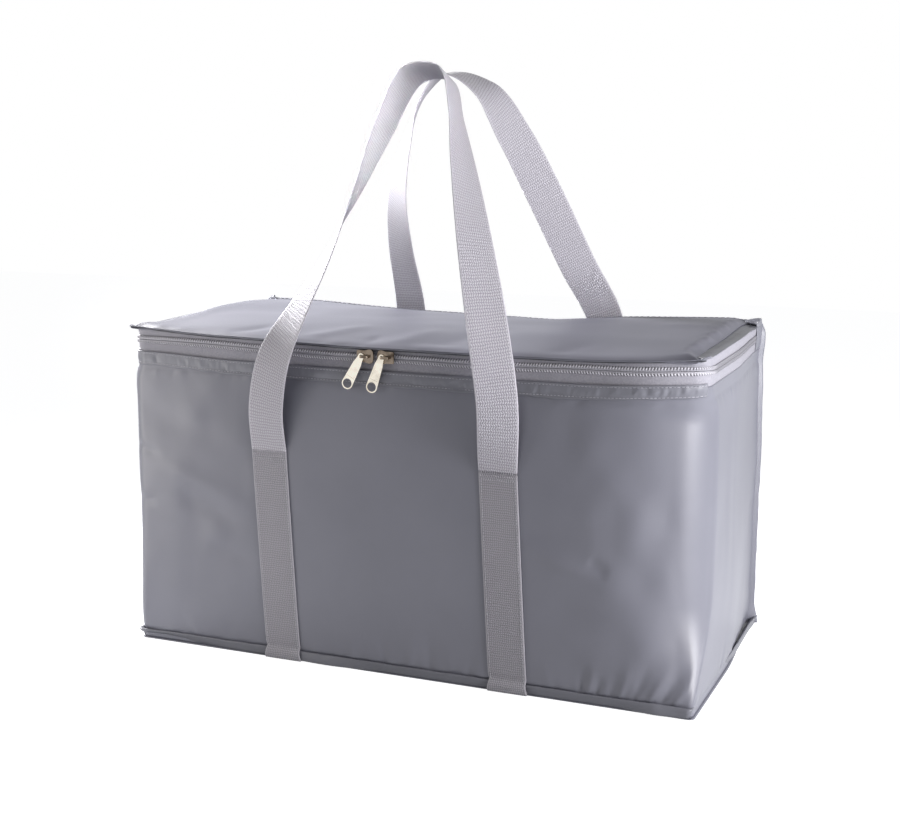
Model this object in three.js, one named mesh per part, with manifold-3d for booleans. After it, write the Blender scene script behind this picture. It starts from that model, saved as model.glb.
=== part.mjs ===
// Insulated carry bag with a zipped lid and two webbing handles.
// Millimetres, +Z up, the front faces -Y, the origin is on the floor under the middle of the body.
// Every wall is a stack of three sheets: outer fabric, foam and liner.
import * as THREE from "three";
import { mergeVertices } from "three/addons/utils/BufferGeometryUtils.js";
import Module from "manifold-3d";

// Body
const bodyWidth = 580;
const bodyDepth = 280;
const bodyHeight = 322;
const frontCornerRadius = 16;
const rearSeamRadius = 0.5;
const rearInnerRadius = 8;

// Sheets
const fabricThickness = 0.6;
const foamThickness = 5;
const linerThickness = 0.4;
const sheetGap = 0.3;

// Seams and trims
const bottomFlangeHeight = 9;
const bottomFlangeThickness = 1.8;
const rearSeamReach = 2;
const rearSeamThickness = 1.6;
const topBandHeight = 11;
const lidFlangeReach = 3.2;
const lidFlangeThickness = 0.8;
const lidCornerRadius = 4;
const lidCrown = 9;
const hingeRollRadius = 1.6;

// Zip
const chainBelowSeam = 11.5;
const coilWidth = 4.4;
const coilSplit = 0.6;
const coilHeight = 2.2;
const tapeThickness = 0.6;
const tapeBelowSeam = 27.6;
const panelBelowSeam = 24.3;
const tapeEndFromRear = 22;
const coilEndFromTapeEnd = 6;
const endTabOverlap = 4;

// Sliders and their pulls
const sliderLength = 17;
const sliderHeight = 13.4;
const sliderPlateThickness = 1.3;
const sliderNoseGap = 4;
const sliderMeetingX = -19;
const crownHeight = 4.3;
const crownBar = 1.6;
const crownWidth = 2.4;
const crownSpan = 8.6;
const pullReach = 35.8;
const pullWidth = 11.4;
const pullThickness = 1.4;
const pullRim = 1.2;
const pullShoulder = 7.5;
const pullPocketDepth = 0.35;
const leftPullSlant = 29;
const rightPullSlant = 20;

// Webbing
const webWidth = 38;
const webThickness = 1.4;
const strapSpacing = 238;
const stitchTop = 212;
const frontStrapShift = -4;
const frontStrapLean = -11;
const rearStrapShift = 1;
const strapFootClearance = 0.4;
const handleRise = 361;
const handleSteps = 96;

// Running clearances
const coilClearance = 0.4;
const hingeClearance = 0.3;
const pullClearance = 0.3;

const halfWidth = bodyWidth / 2;
const halfDepth = bodyDepth / 2;
const chainZ = bodyHeight - chainBelowSeam;
const foamOuter = -(fabricThickness + sheetGap);
const foamInner = foamOuter - foamThickness;
const linerOuter = foamInner - sheetGap;
const linerInner = linerOuter - linerThickness;
const bottomFoamBase = fabricThickness + sheetGap;
const linerFloor = bottomFoamBase + foamThickness + sheetGap;
const tapeOuter = -(fabricThickness + sheetGap);
const tapeInner = tapeOuter - tapeThickness;
const coilOuter = tapeOuter + sheetGap + coilHeight;
const wallFoamTop = chainZ - sliderHeight / 2 - 1.3;
const rearWallTop = bodyHeight - foamThickness - 1.3;
const arcSteps = 8;

// A flat list of points becomes a mesh whose faces point out, whichever way round they were listed.
function solidFrom(points, triangles) {
  const geometry = new THREE.BufferGeometry();
  geometry.setAttribute("position", new THREE.Float32BufferAttribute(points.flatMap((p) => p.toArray()), 3));
  let volume = 0;
  for (const [a, b, c] of triangles) {
    volume += points[a].dot(new THREE.Vector3().crossVectors(points[b], points[c]));
  }
  const ordered = volume < 0 ? triangles.map(([a, b, c]) => [a, c, b]) : triangles;
  geometry.setIndex(ordered.flat());
  geometry.computeVertexNormals();
  return geometry;
}

// Joins rings of equal length into a tube. Its ends are capped by the flat outline of the ring,
// or it closes on itself.
function loft(rings, outline, closed = false) {
  const count = rings[0].length;
  const points = rings.flat();
  const triangles = [];
  const spans = closed ? rings.length : rings.length - 1;
  for (let i = 0; i < spans; i++) {
    const here = i * count;
    const next = ((i + 1) % rings.length) * count;
    for (let j = 0; j < count; j++) {
      const k = (j + 1) % count;
      triangles.push([here + j, next + j, next + k], [here + j, next + k, here + k]);
    }
  }
  if (!closed) {
    const last = (rings.length - 1) * count;
    const turned = THREE.ShapeUtils.isClockWise(outline);
    for (const [p, q, r] of THREE.ShapeUtils.triangulateShape(outline, [])) {
      const [a, b, c] = turned ? [p, r, q] : [p, q, r];
      triangles.push([a, b, c], [last + a, last + c, last + b]);
    }
  }
  return solidFrom(points, triangles);
}

// The wall line is the outer face of the fabric seen from above. A station is a point of it
// with the direction that points out of the bag.
function station(x, y, outX, outY) {
  return { x, y, outX, outY };
}

function cornerArc(centreX, centreY, radius, fromAngle, toAngle) {
  const stations = [];
  for (let i = 0; i <= arcSteps; i++) {
    const angle = THREE.MathUtils.degToRad(fromAngle + ((toAngle - fromAngle) * i) / arcSteps);
    const outX = Math.cos(angle);
    const outY = Math.sin(angle);
    stations.push(station(centreX + radius * outX, centreY + radius * outY, outX, outY));
  }
  return stations;
}

// From the left rear edge round the front to the right rear edge.
function openWallLine(rearGap, cornerRadius = frontCornerRadius) {
  const cornerX = halfWidth - cornerRadius;
  const cornerY = -(halfDepth - cornerRadius);
  const rearY = halfDepth - rearGap;
  return [
    station(-halfWidth, rearY, -1, 0),
    ...cornerArc(-cornerX, cornerY, cornerRadius, 180, 270),
    ...cornerArc(cornerX, cornerY, cornerRadius, 270, 360),
    station(halfWidth, rearY, 1, 0),
  ];
}

// All the way round. The outer trims turn sharp rear corners and the inner sheets rounded ones.
// Both sides have points where the liner's edge climbs from the height of the zip to that
// of the rear wall.
const linerClimb = [50, 30, 18];
function closedWallLine(rearRadius) {
  const frontX = halfWidth - frontCornerRadius;
  const rearX = halfWidth - rearRadius;
  const rearY = halfDepth - rearRadius;
  const climb = linerClimb.map((gap) => halfDepth - gap);
  return [
    ...cornerArc(-frontX, -(halfDepth - frontCornerRadius), frontCornerRadius, 180, 270),
    ...cornerArc(frontX, -(halfDepth - frontCornerRadius), frontCornerRadius, 270, 360),
    ...climb.map((y) => station(halfWidth, y, 1, 0)),
    ...cornerArc(rearX, rearY, rearRadius, 0, 90),
    ...cornerArc(-rearX, rearY, rearRadius, 90, 180),
    ...climb.reverse().map((y) => station(-halfWidth, y, -1, 0)),
  ];
}

// A point at a distance out of the wall line (negative is into the bag) and at a height.
function wallPoint(at, out, z) {
  return new THREE.Vector3(at.x + at.outX * out, at.y + at.outY * out, z);
}

// Runs a section of [out, z] points along a wall line.
function wallSweep(section, line, closed = false) {
  const rings = line.map((at) => section.map(([out, z]) => wallPoint(at, out, z)));
  const outline = section.map(([out, z]) => new THREE.Vector2(out, z));
  return loft(rings, outline, closed);
}

function band(outFrom, outTo, zFrom, zTo) {
  return [
    [outFrom, zFrom],
    [outTo, zFrom],
    [outTo, zTo],
    [outFrom, zTo],
  ];
}

// A flat sheet with the outline of a wall line moved in or out.
function floorSheet(line, out, zFrom, zTo) {
  const rings = [zFrom, zTo].map((z) => line.map((at) => wallPoint(at, out, z)));
  return loft(rings, rings[0].map((p) => new THREE.Vector2(p.x, p.y)));
}

function block(xFrom, xTo, yFrom, yTo, zFrom, zTo) {
  const geometry = new THREE.BoxGeometry(xTo - xFrom, yTo - yFrom, zTo - zFrom);
  return geometry.translate((xFrom + xTo) / 2, (yFrom + yTo) / 2, (zFrom + zTo) / 2);
}

// Outer fabric
function wrapPanel() {
  const section = band(-fabricThickness, 0, bottomFoamBase, bodyHeight - panelBelowSeam);
  return wallSweep(section, openWallLine(fabricThickness + sheetGap));
}

function rearPanel() {
  const top = bodyHeight - hingeRollRadius - sheetGap;
  return block(-halfWidth, halfWidth, halfDepth - fabricThickness, halfDepth, bottomFoamBase, top);
}

function bottomPanel() {
  return floorSheet(closedWallLine(rearSeamRadius), sheetGap + bottomFlangeThickness, 0, fabricThickness);
}

function bottomFlange() {
  const base = fabricThickness + sheetGap;
  const section = band(sheetGap, sheetGap + bottomFlangeThickness, base, base + bottomFlangeHeight);
  return wallSweep(section, closedWallLine(rearSeamRadius), true);
}

// The seam allowance of side and rear, standing out sideways at each rear corner.
function rearSeamEdge(side) {
  const inner = halfWidth + sheetGap;
  const base = bottomFoamBase + bottomFlangeHeight + sheetGap;
  const ends = [side * inner, side * (inner + rearSeamReach)].sort((a, b) => a - b);
  const rear = halfDepth - fabricThickness;
  return block(ends[0], ends[1], rear - rearSeamThickness, rear, base, bodyHeight - panelBelowSeam);
}

function topBand() {
  const top = bodyHeight - panelBelowSeam;
  const section = band(sheetGap, sheetGap + fabricThickness, top - topBandHeight, top);
  return wallSweep(section, openWallLine(rearSeamThickness + fabricThickness + sheetGap));
}

// The stitched roll of fabric along the top of the rear wall, which the lid turns about.
function hingeRoll() {
  const roll = new THREE.CylinderGeometry(hingeRollRadius, hingeRollRadius, bodyWidth, 16);
  return roll.rotateZ(Math.PI / 2).translate(0, halfDepth, bodyHeight);
}

// Foam walls
function foamWrap() {
  const step = bodyHeight - tapeBelowSeam - sheetGap;
  const behindTape = tapeInner - sheetGap;
  const section = [
    [foamInner, bottomFoamBase],
    [foamOuter, bottomFoamBase],
    [foamOuter, step],
    [behindTape, step],
    [behindTape, wallFoamTop],
    [foamInner, wallFoamTop],
  ];
  return wallSweep(section, openWallLine(-linerOuter));
}

function foamRear() {
  const reach = halfWidth + foamOuter;
  return block(-reach, reach, halfDepth + foamInner, halfDepth + foamOuter, bottomFoamBase, rearWallTop);
}

function foamBottom() {
  const top = bottomFoamBase + foamThickness;
  return floorSheet(closedWallLine(rearInnerRadius), linerOuter, bottomFoamBase, top);
}

// The liner is one cup. Its edge turns out over the foam, low along the zip and high at the rear.
function linerRing(line, out, z) {
  return line.map((at) => wallPoint(at, out, z));
}

function linerBody() {
  const line = closedWallLine(rearInnerRadius);
  const lowEdge = wallFoamTop + sheetGap;
  const highEdge = rearWallTop + sheetGap;
  const climbFrom = halfDepth - linerClimb[0];
  const climbTo = halfDepth - linerClimb[2];
  const edge = (at) => lowEdge + (highEdge - lowEdge) * THREE.MathUtils.smoothstep(at.y, climbFrom, climbTo);
  const lipReach = (at) => (at.y > climbFrom ? linerOuter + sheetGap : tapeInner - sheetGap);
  const top = (out, lift) => line.map((at) => wallPoint(at, out(at), edge(at) + lift));
  const rings = [
    linerRing(line, linerOuter, linerFloor),
    top(() => linerOuter, 0),
    top(lipReach, 0),
    top(lipReach, linerThickness),
    top(() => linerInner, linerThickness),
    linerRing(line, linerInner, linerFloor + linerThickness),
  ];
  return loft(rings, rings[0].map((p) => new THREE.Vector2(p.x, p.y)));
}

// Lid. Its sheets bulge by the same crown, which dies out at the seam.
function crownAt(x, y) {
  const across = THREE.MathUtils.clamp(1 - (x / halfWidth) ** 2, 0, 1);
  const along = THREE.MathUtils.clamp(1 - (y / halfDepth) ** 2, 0, 1);
  return lidCrown * across * along;
}

// Rows run from the rear edge to the front, and get shorter where they cross the front corners.
function lidSheet(out, base, thickness, rearGap, cornerRadius) {
  const radius = cornerRadius + out;
  const centreX = halfWidth - cornerRadius;
  const centreY = -(halfDepth - cornerRadius);
  const rows = [];
  for (let i = 0; i <= 8; i++) {
    const y = halfDepth - rearGap + ((centreY - halfDepth + rearGap) * i) / 8;
    rows.push([y, centreX + radius]);
  }
  for (let i = 1; i <= arcSteps; i++) {
    const angle = (Math.PI / 2) * (i / arcSteps);
    rows.push([centreY - radius * Math.sin(angle), centreX + radius * Math.cos(angle)]);
  }
  const columns = 18;
  const grid = (lift) =>
    rows.flatMap(([y, reach]) =>
      Array.from({ length: columns + 1 }, (_, j) => {
        const x = reach * ((2 * j) / columns - 1);
        return new THREE.Vector3(x, y, base + lift + crownAt(x, y));
      }),
    );
  const points = [...grid(0), ...grid(thickness)];
  const width = columns + 1;
  const layer = rows.length * width;
  const triangles = [];
  for (let i = 0; i < rows.length - 1; i++) {
    for (let j = 0; j < columns; j++) {
      const a = i * width + j;
      const quad = [a, a + 1, a + width + 1, a + width];
      triangles.push([quad[0], quad[1], quad[2]], [quad[0], quad[2], quad[3]]);
      const top = quad.map((k) => k + layer);
      triangles.push([top[0], top[2], top[1]], [top[0], top[3], top[2]]);
    }
  }
  const rim = [];
  for (let j = 0; j < columns; j++) rim.push(j);
  for (let i = 0; i < rows.length - 1; i++) rim.push(i * width + columns);
  for (let j = columns; j > 0; j--) rim.push((rows.length - 1) * width + j);
  for (let i = rows.length - 1; i > 0; i--) rim.push(i * width);
  rim.forEach((a, i) => {
    const b = rim[(i + 1) % rim.length];
    triangles.push([a, b + layer, b], [a, a + layer, b + layer]);
  });
  return solidFrom(points, triangles);
}

const lidRearGap = hingeRollRadius + hingeClearance;
const lidFlangeBase = bodyHeight - 0.2;
const lidPanelBase = lidFlangeBase + lidFlangeThickness + sheetGap;
const lidFoamBase = lidPanelBase - sheetGap - foamThickness;
const lidFoamOut = tapeInner - sheetGap - sliderPlateThickness - 2 * sheetGap;

function lidPanel() {
  return lidSheet(lidFlangeReach, lidPanelBase, fabricThickness, lidRearGap, lidCornerRadius);
}

function lidFoam() {
  return lidSheet(lidFoamOut, lidFoamBase, foamThickness, lidRearGap + sheetGap, frontCornerRadius);
}

function lidLiner() {
  const base = lidFoamBase - sheetGap - linerThickness;
  return lidSheet(lidFoamOut, base, linerThickness, lidRearGap + sheetGap, frontCornerRadius);
}

// Its inner edge follows the zip and its outer edge runs out into two nearly square corners.
function lidFlange() {
  const inner = openWallLine(lidRearGap);
  const outer = openWallLine(lidRearGap, lidCornerRadius);
  const section = band(tapeInner, lidFlangeReach, lidFlangeBase, lidFlangeBase + lidFlangeThickness);
  const rings = outer.map((at, i) =>
    section.map(([out, z]) => wallPoint(out === tapeInner ? inner[i] : at, out, z)),
  );
  return loft(rings, section.map(([out, z]) => new THREE.Vector2(out, z)));
}

// Zip
function zipTapeLower() {
  const section = band(tapeInner, tapeOuter, bodyHeight - tapeBelowSeam, chainZ - coilSplit);
  return wallSweep(section, openWallLine(tapeEndFromRear));
}

function zipTapeUpper() {
  const section = band(tapeInner, tapeOuter, chainZ + coilSplit, lidFlangeBase - sheetGap);
  return wallSweep(section, openWallLine(tapeEndFromRear));
}

// One side of the chain is a strip with a rounded back.
function zipCoil(side) {
  const edge = coilHeight / 3;
  const seat = tapeOuter + sheetGap;
  const section = [
    [seat, chainZ + side * coilSplit],
    [coilOuter - edge / 2, chainZ + side * coilSplit],
    [coilOuter, chainZ + side * (coilSplit + edge)],
    [coilOuter, chainZ + side * (coilSplit + coilWidth - edge)],
    [coilOuter - edge, chainZ + side * (coilSplit + coilWidth)],
    [seat, chainZ + side * (coilSplit + coilWidth)],
  ];
  return wallSweep(section, openWallLine(tapeEndFromRear + coilEndFromTapeEnd));
}

// The fabric tab that covers the end of the zip at each rear corner.
function zipEndTab(side) {
  const inner = halfWidth - fabricThickness;
  const ends = [side * inner, side * halfWidth].sort((a, b) => a - b);
  const from = halfDepth - tapeEndFromRear - endTabOverlap;
  const to = halfDepth - fabricThickness - sheetGap;
  const base = bodyHeight - panelBelowSeam + sheetGap;
  return block(ends[0], ends[1], from, to, base, bodyHeight - hingeRollRadius - sheetGap);
}

// Webbing. A ribbon follows points, and each point has a direction across the webbing.
function ribbon(path, thickness) {
  const corners = [
    [-1, -1],
    [1, -1],
    [1, 1],
    [-1, 1],
  ];
  const rings = path.map(({ point, across, face }) =>
    corners.map(([u, v]) =>
      point
        .clone()
        .addScaledVector(across, (u * webWidth) / 2)
        .addScaledVector(face, (v * thickness) / 2),
    ),
  );
  return loft(rings, corners.map(([u, v]) => new THREE.Vector2(u, v)));
}

// Where the middle of the webbing lies when it is sewn to a wall.
const sewnOut = sheetGap + webThickness / 2;
const overFlangeOut = sheetGap + bottomFlangeThickness + sheetGap + webThickness / 2;

function strapX(end, wall) {
  const shift = wall < 0 ? frontStrapShift : rearStrapShift;
  return shift + (end * strapSpacing) / 2;
}

function stitchX(end, wall) {
  return strapX(end, wall) + (wall < 0 ? frontStrapLean : 0);
}

// The sewn part of a strap climbs over the bottom flange and lies flat up to the stitched cross.
function sewnStrap(end, wall) {
  const flangeTop = fabricThickness + sheetGap + bottomFlangeHeight;
  const steps = [
    [overFlangeOut, strapFootClearance],
    [overFlangeOut, flangeTop],
    [sewnOut, flangeTop + 2 * bottomFlangeThickness],
    [sewnOut, stitchTop - hingeClearance / 2],
  ];
  const path = steps.map(([out, z]) => {
    const x = THREE.MathUtils.lerp(strapX(end, wall), stitchX(end, wall), z / stitchTop);
    return {
      point: new THREE.Vector3(x, wall * (halfDepth + out), z),
      across: new THREE.Vector3(1, 0, 0),
      face: new THREE.Vector3(0, 1, 0),
    };
  });
  return ribbon(path, webThickness);
}

// Free loops of webbing, left foot to right foot. Each row is the middle of the webbing: x from the
// middle of the two feet as a share of half their spacing, y as a share of half the bag's depth,
// height above the stitching as a share of the rise of the handles, then the compass turn and the
// climb of the direction across it.
const frontLoop = [
  [-0.983, -1.079, 0.122, -4, 0],
  [-0.874, -1.129, 0.255, -11, 0],
  [-0.664, -1.1, 0.388, -32, 0],
  [-0.496, -0.936, 0.529, -50, 5],
  [-0.361, -0.707, 0.693, -72, 16],
  [-0.261, -0.457, 0.853, -92, 26],
  [-0.126, -0.214, 0.992, -100, 24],
  [0.168, -0.229, 0.994, -94, 24],
  [0.345, -0.393, 0.889, -95, 28],
  [0.546, -0.664, 0.748, -112, 18],
  [0.756, -0.921, 0.571, -130, 8],
  [0.941, -1.1, 0.371, -148, -2],
  [1.034, -1.129, 0.188, -162, -8],
];
const rearLoop = [
  [-0.958, 1.093, 0.139, -2, 0],
  [-1, 1.121, 0.31, -8, -2],
  [-1.017, 0.971, 0.493, -20, -8],
  [-0.916, 0.743, 0.651, -38, -12],
  [-0.664, 0.471, 0.817, -58, -14],
  [-0.395, 0.264, 0.942, -76, -8],
  [-0.126, 0.171, 1, -90, -4],
  [0.16, 0.243, 0.953, -108, -6],
  [0.345, 0.443, 0.828, -128, -8],
  [0.529, 0.707, 0.651, -145, -8],
  [0.731, 0.957, 0.454, -158, -6],
  [0.933, 1.114, 0.294, -168, -4],
  [1, 1.107, 0.139, -176, 0],
];

function direction(turn, climb) {
  const t = THREE.MathUtils.degToRad(turn);
  const c = THREE.MathUtils.degToRad(climb);
  return new THREE.Vector3(Math.cos(t) * Math.cos(c), Math.sin(t) * Math.cos(c), Math.sin(c));
}

function handle(rows, wall) {
  const middle = (stitchX(-1, wall) + stitchX(1, wall)) / 2;
  const foot = (end) =>
    new THREE.Vector3(stitchX(end, wall), wall * (halfDepth + sewnOut), stitchTop + hingeClearance / 2);
  const points = rows.map(([x, y, up]) => {
    const z = stitchTop + up * handleRise;
    return new THREE.Vector3(middle + (x * strapSpacing) / 2, y * halfDepth, z);
  });
  const middles = new THREE.CatmullRomCurve3([foot(-1), ...points, foot(1)]);
  const turns = [direction(0, 0), ...rows.map((row) => direction(row[3], row[4])), direction(180, 0)];
  const acrossLine = new THREE.CatmullRomCurve3(turns, false, "catmullrom", 0.5);
  const path = [];
  for (let i = 0; i <= handleSteps; i++) {
    const t = i / handleSteps;
    const atFoot = i === 0 || i === handleSteps;
    const upright = new THREE.Vector3(0, 0, i === 0 ? 1 : -1);
    const along = atFoot ? upright : middles.getTangent(t);
    const across = acrossLine.getPoint(t);
    across.addScaledVector(along, -across.dot(along)).normalize();
    const face = new THREE.Vector3().crossVectors(along, across);
    path.push({ point: middles.getPoint(t), across, face });
  }
  return ribbon(path, webThickness);
}

// Metal parts are drawn on the face of the bag: x along the zip, height, and extrusion outwards.
function facePlate(shape, out, thickness) {
  const settings = { depth: thickness, bevelEnabled: false, curveSegments: 10 };
  const geometry = new THREE.ExtrudeGeometry(shape, settings);
  return geometry.translate(0, 0, out).rotateX(Math.PI / 2);
}

const wasm = await Module();
wasm.setup();

function toSolid(geometry) {
  const bare = geometry.clone();
  for (const name of Object.keys(bare.attributes)) {
    if (name !== "position") bare.deleteAttribute(name);
  }
  const merged = mergeVertices(bare, 1e-4);
  return new wasm.Manifold(
    new wasm.Mesh({
      numProp: 3,
      vertProperties: merged.attributes.position.array,
      triVerts: new Uint32Array(merged.index.array),
    }),
  );
}

function toGeometry(solid) {
  const mesh = solid.getMesh();
  const geometry = new THREE.BufferGeometry();
  geometry.setAttribute("position", new THREE.BufferAttribute(new Float32Array(mesh.vertProperties), 3));
  geometry.setIndex(new THREE.BufferAttribute(new Uint32Array(mesh.triVerts), 1));
  geometry.computeVertexNormals();
  return geometry;
}

// The plate of a slider: a straight tail and a rounded, wider nose towards +x.
function sliderOutline() {
  const tail = -sliderLength / 2;
  const nose = sliderLength / 2;
  const half = sliderHeight / 2;
  const waist = half * 0.84;
  const shape = new THREE.Shape();
  shape.moveTo(tail + 1.5, -waist);
  shape.lineTo(0, -waist);
  shape.quadraticCurveTo(nose * 0.35, -half, nose * 0.6, -half);
  shape.quadraticCurveTo(nose, -half, nose, 0);
  shape.quadraticCurveTo(nose, half, nose * 0.6, half);
  shape.quadraticCurveTo(nose * 0.35, half, 0, waist);
  shape.lineTo(tail + 1.5, waist);
  shape.quadraticCurveTo(tail, waist, tail, waist - 1.5);
  shape.lineTo(tail, -waist + 1.5);
  shape.quadraticCurveTo(tail, -waist, tail + 1.5, -waist);
  return shape;
}

// The bridge that holds the pull, seen from above: x along the zip and distance out of the plate.
function crownOutline(base) {
  const half = crownSpan / 2;
  const top = base + crownHeight;
  const inner = half - crownBar;
  const under = top - crownBar + 0.2;
  const shape = new THREE.Shape();
  shape.moveTo(-half, base - 0.1);
  shape.lineTo(-half, top - crownBar);
  shape.quadraticCurveTo(-half, top, -half + crownBar, top);
  shape.lineTo(half - crownBar, top);
  shape.quadraticCurveTo(half, top, half, top - crownBar);
  shape.lineTo(half, base - 0.1);
  shape.lineTo(inner, base - 0.1);
  shape.lineTo(inner, under - 0.6);
  shape.lineTo(inner - 0.6, under);
  shape.lineTo(-inner + 0.6, under);
  shape.lineTo(-inner, under - 0.6);
  shape.lineTo(-inner, base - 0.1);
  return shape;
}

const frontPlateIn = coilOuter + coilClearance;
const frontPlateOut = frontPlateIn + sliderPlateThickness;
const backPlateOut = tapeInner - coilClearance;
const crownPost = crownSpan / 2 - crownBar / 2;
const postHole = Math.hypot(crownBar, crownWidth) / 2 + pullClearance;

// The two plates meet in the thin wedge between the rows, and the front plate hooks under
// the lower row. The upper row can rise out of the slider with the lid.
function slider(nose) {
  const overlap = 0.05;
  const front = toSolid(facePlate(sliderOutline(), frontPlateIn, sliderPlateThickness));
  const backPlateIn = backPlateOut - sliderPlateThickness;
  const back = toSolid(facePlate(sliderOutline(), backPlateIn, sliderPlateThickness));
  const wedgeHalf = coilSplit - sheetGap;
  const wedge = toSolid(
    block(0, sliderLength * 0.3, -frontPlateIn - overlap, -backPlateOut + overlap, -wedgeHalf, wedgeHalf),
  );
  const hookTop = -(coilSplit + coilWidth + coilClearance);
  const hookBase = -sliderHeight * 0.42;
  const hookIn = tapeOuter + sheetGap;
  const hook = toSolid(
    block(-sliderLength / 2 + 2, sliderLength * 0.3, -frontPlateIn - overlap, -hookIn, hookBase, hookTop),
  );
  const crown = new THREE.ExtrudeGeometry(crownOutline(frontPlateOut), {
    depth: crownWidth,
    bevelEnabled: false,
    curveSegments: 6,
  });
  const bridge = toSolid(crown.translate(0, 0, -crownWidth / 2).scale(1, -1, -1));
  const joined = front.add(back).add(wedge).add(hook).add(bridge);
  return toGeometry(nose < 0 ? joined.mirror([1, 0, 0]) : joined);
}

function pullOutline() {
  const eye = postHole + pullRim;
  const half = pullWidth / 2;
  const neck = half * 0.74;
  const roundZ = -(pullReach - half);
  const shape = new THREE.Shape();
  shape.absarc(0, 0, eye, 0, Math.PI, false);
  shape.quadraticCurveTo(-eye, -eye, -neck, -pullShoulder);
  shape.lineTo(-half, roundZ);
  shape.absarc(0, roundZ, half, Math.PI, 2 * Math.PI, false);
  shape.lineTo(neck, -pullShoulder);
  shape.quadraticCurveTo(eye, -eye, eye, 0);
  const post = new THREE.Path();
  post.absarc(0, 0, postHole, 0, 2 * Math.PI, true);
  const finger = new THREE.Path();
  finger.absarc(0, roundZ, half - pullRim, 0, 2 * Math.PI, true);
  shape.holes.push(post, finger);
  return shape;
}

// The sunk panel in the face of a pull.
function pullPocket() {
  const half = pullWidth / 2;
  const top = -(pullShoulder + pullRim);
  const base = -(pullReach - pullWidth - pullRim);
  const narrow = half * 0.74 - pullRim;
  const wide = half * 0.92 - pullRim;
  const shape = new THREE.Shape();
  shape.moveTo(-narrow, top);
  shape.lineTo(narrow, top);
  shape.lineTo(wide, base);
  shape.lineTo(-wide, base);
  return shape;
}

const pullIn = frontPlateOut + pullClearance;

function pull(slant) {
  const body = toSolid(facePlate(pullOutline(), pullIn, pullThickness));
  const pocket = toSolid(facePlate(pullPocket(), pullIn + pullThickness - pullPocketDepth, 1));
  return toGeometry(body.subtract(pocket)).rotateY(THREE.MathUtils.degToRad(slant));
}

const fabric = new THREE.MeshStandardMaterial({ color: 0x8f8f98, roughness: 0.5, metalness: 0 });
const webbing = new THREE.MeshStandardMaterial({ color: 0xb9b8c0, roughness: 0.8, metalness: 0 });
const foam = new THREE.MeshStandardMaterial({ color: 0xeeeeea, roughness: 0.9, metalness: 0 });
const lining = new THREE.MeshStandardMaterial({ color: 0xc9ccd0, roughness: 0.35, metalness: 0.3 });
const tape = new THREE.MeshStandardMaterial({ color: 0xa6a6ac, roughness: 0.85, metalness: 0 });
const coil = new THREE.MeshStandardMaterial({ color: 0x9a9aa0, roughness: 0.45, metalness: 0 });
const nickel = new THREE.MeshStandardMaterial({ color: 0xd8cfba, roughness: 0.25, metalness: 1 });

const bag = new THREE.Group();

function addNode(parent, name, geometry, material) {
  const mesh = new THREE.Mesh(geometry, material);
  mesh.name = name;
  parent.add(mesh);
  return mesh;
}

const sides = [
  ["left", -1],
  ["right", 1],
];

const body = new THREE.Group();
bag.add(body);
addNode(body, "wrap_panel", wrapPanel(), fabric);
addNode(body, "rear_panel", rearPanel(), fabric);
addNode(body, "bottom_panel", bottomPanel(), fabric);
addNode(body, "bottom_seam_flange", bottomFlange(), fabric);
addNode(body, "top_band", topBand(), fabric);
addNode(body, "rear_hinge_roll", hingeRoll(), fabric);
addNode(body, "foam_wrap", foamWrap(), foam);
addNode(body, "foam_rear", foamRear(), foam);
addNode(body, "foam_bottom", foamBottom(), foam);
addNode(body, "liner_body", linerBody(), lining);
addNode(body, "zip_tape_lower", zipTapeLower(), tape);
addNode(body, "zip_coil_lower", zipCoil(-1), coil);
for (const [side, sign] of sides) {
  addNode(body, "rear_seam_edge_" + side, rearSeamEdge(sign), fabric);
  addNode(body, "zip_end_tab_" + side, zipEndTab(sign), fabric);
  addNode(body, "front_strap_" + side, sewnStrap(sign, -1), webbing);
  addNode(body, "rear_strap_" + side, sewnStrap(sign, 1), webbing);
}

const lid = new THREE.Group();
bag.add(lid);
addNode(lid, "lid_panel", lidPanel(), fabric);
addNode(lid, "lid_foam", lidFoam(), foam);
addNode(lid, "lid_liner", lidLiner(), lining);
addNode(lid, "lid_seam_flange", lidFlange(), fabric);
addNode(lid, "zip_tape_upper", zipTapeUpper(), tape);
addNode(lid, "zip_coil_upper", zipCoil(1), coil);

const frontHandle = new THREE.Group();
bag.add(frontHandle);
addNode(frontHandle, "front_handle", handle(frontLoop, -1), webbing);
const rearHandle = new THREE.Group();
bag.add(rearHandle);
addNode(rearHandle, "rear_handle", handle(rearLoop, 1), webbing);

// The two sliders meet nose to nose on the closed zip, and both pulls hang from their left posts.
const slants = { left: leftPullSlant, right: rightPullSlant };
for (const [side, sign] of sides) {
  const x = sliderMeetingX + (sign * (sliderLength + sliderNoseGap)) / 2;
  const carriage = new THREE.Group();
  carriage.position.set(x, -halfDepth, chainZ);
  bag.add(carriage);
  addNode(carriage, "zip_slider_" + side, slider(-sign), nickel);
  const hung = addNode(carriage, "pull_tab_" + side, pull(slants[side]), nickel);
  hung.position.x = -crownPost;
}

export default bag;
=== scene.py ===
# The insulated bag, dressed over its fixed frame. Lengths are millimetres until a mesh is made; the
# camera, the lamps and the limits of a blend are in metres.
import math

import bmesh
import bpy
import numpy as np
from mathutils import Matrix, Vector

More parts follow.
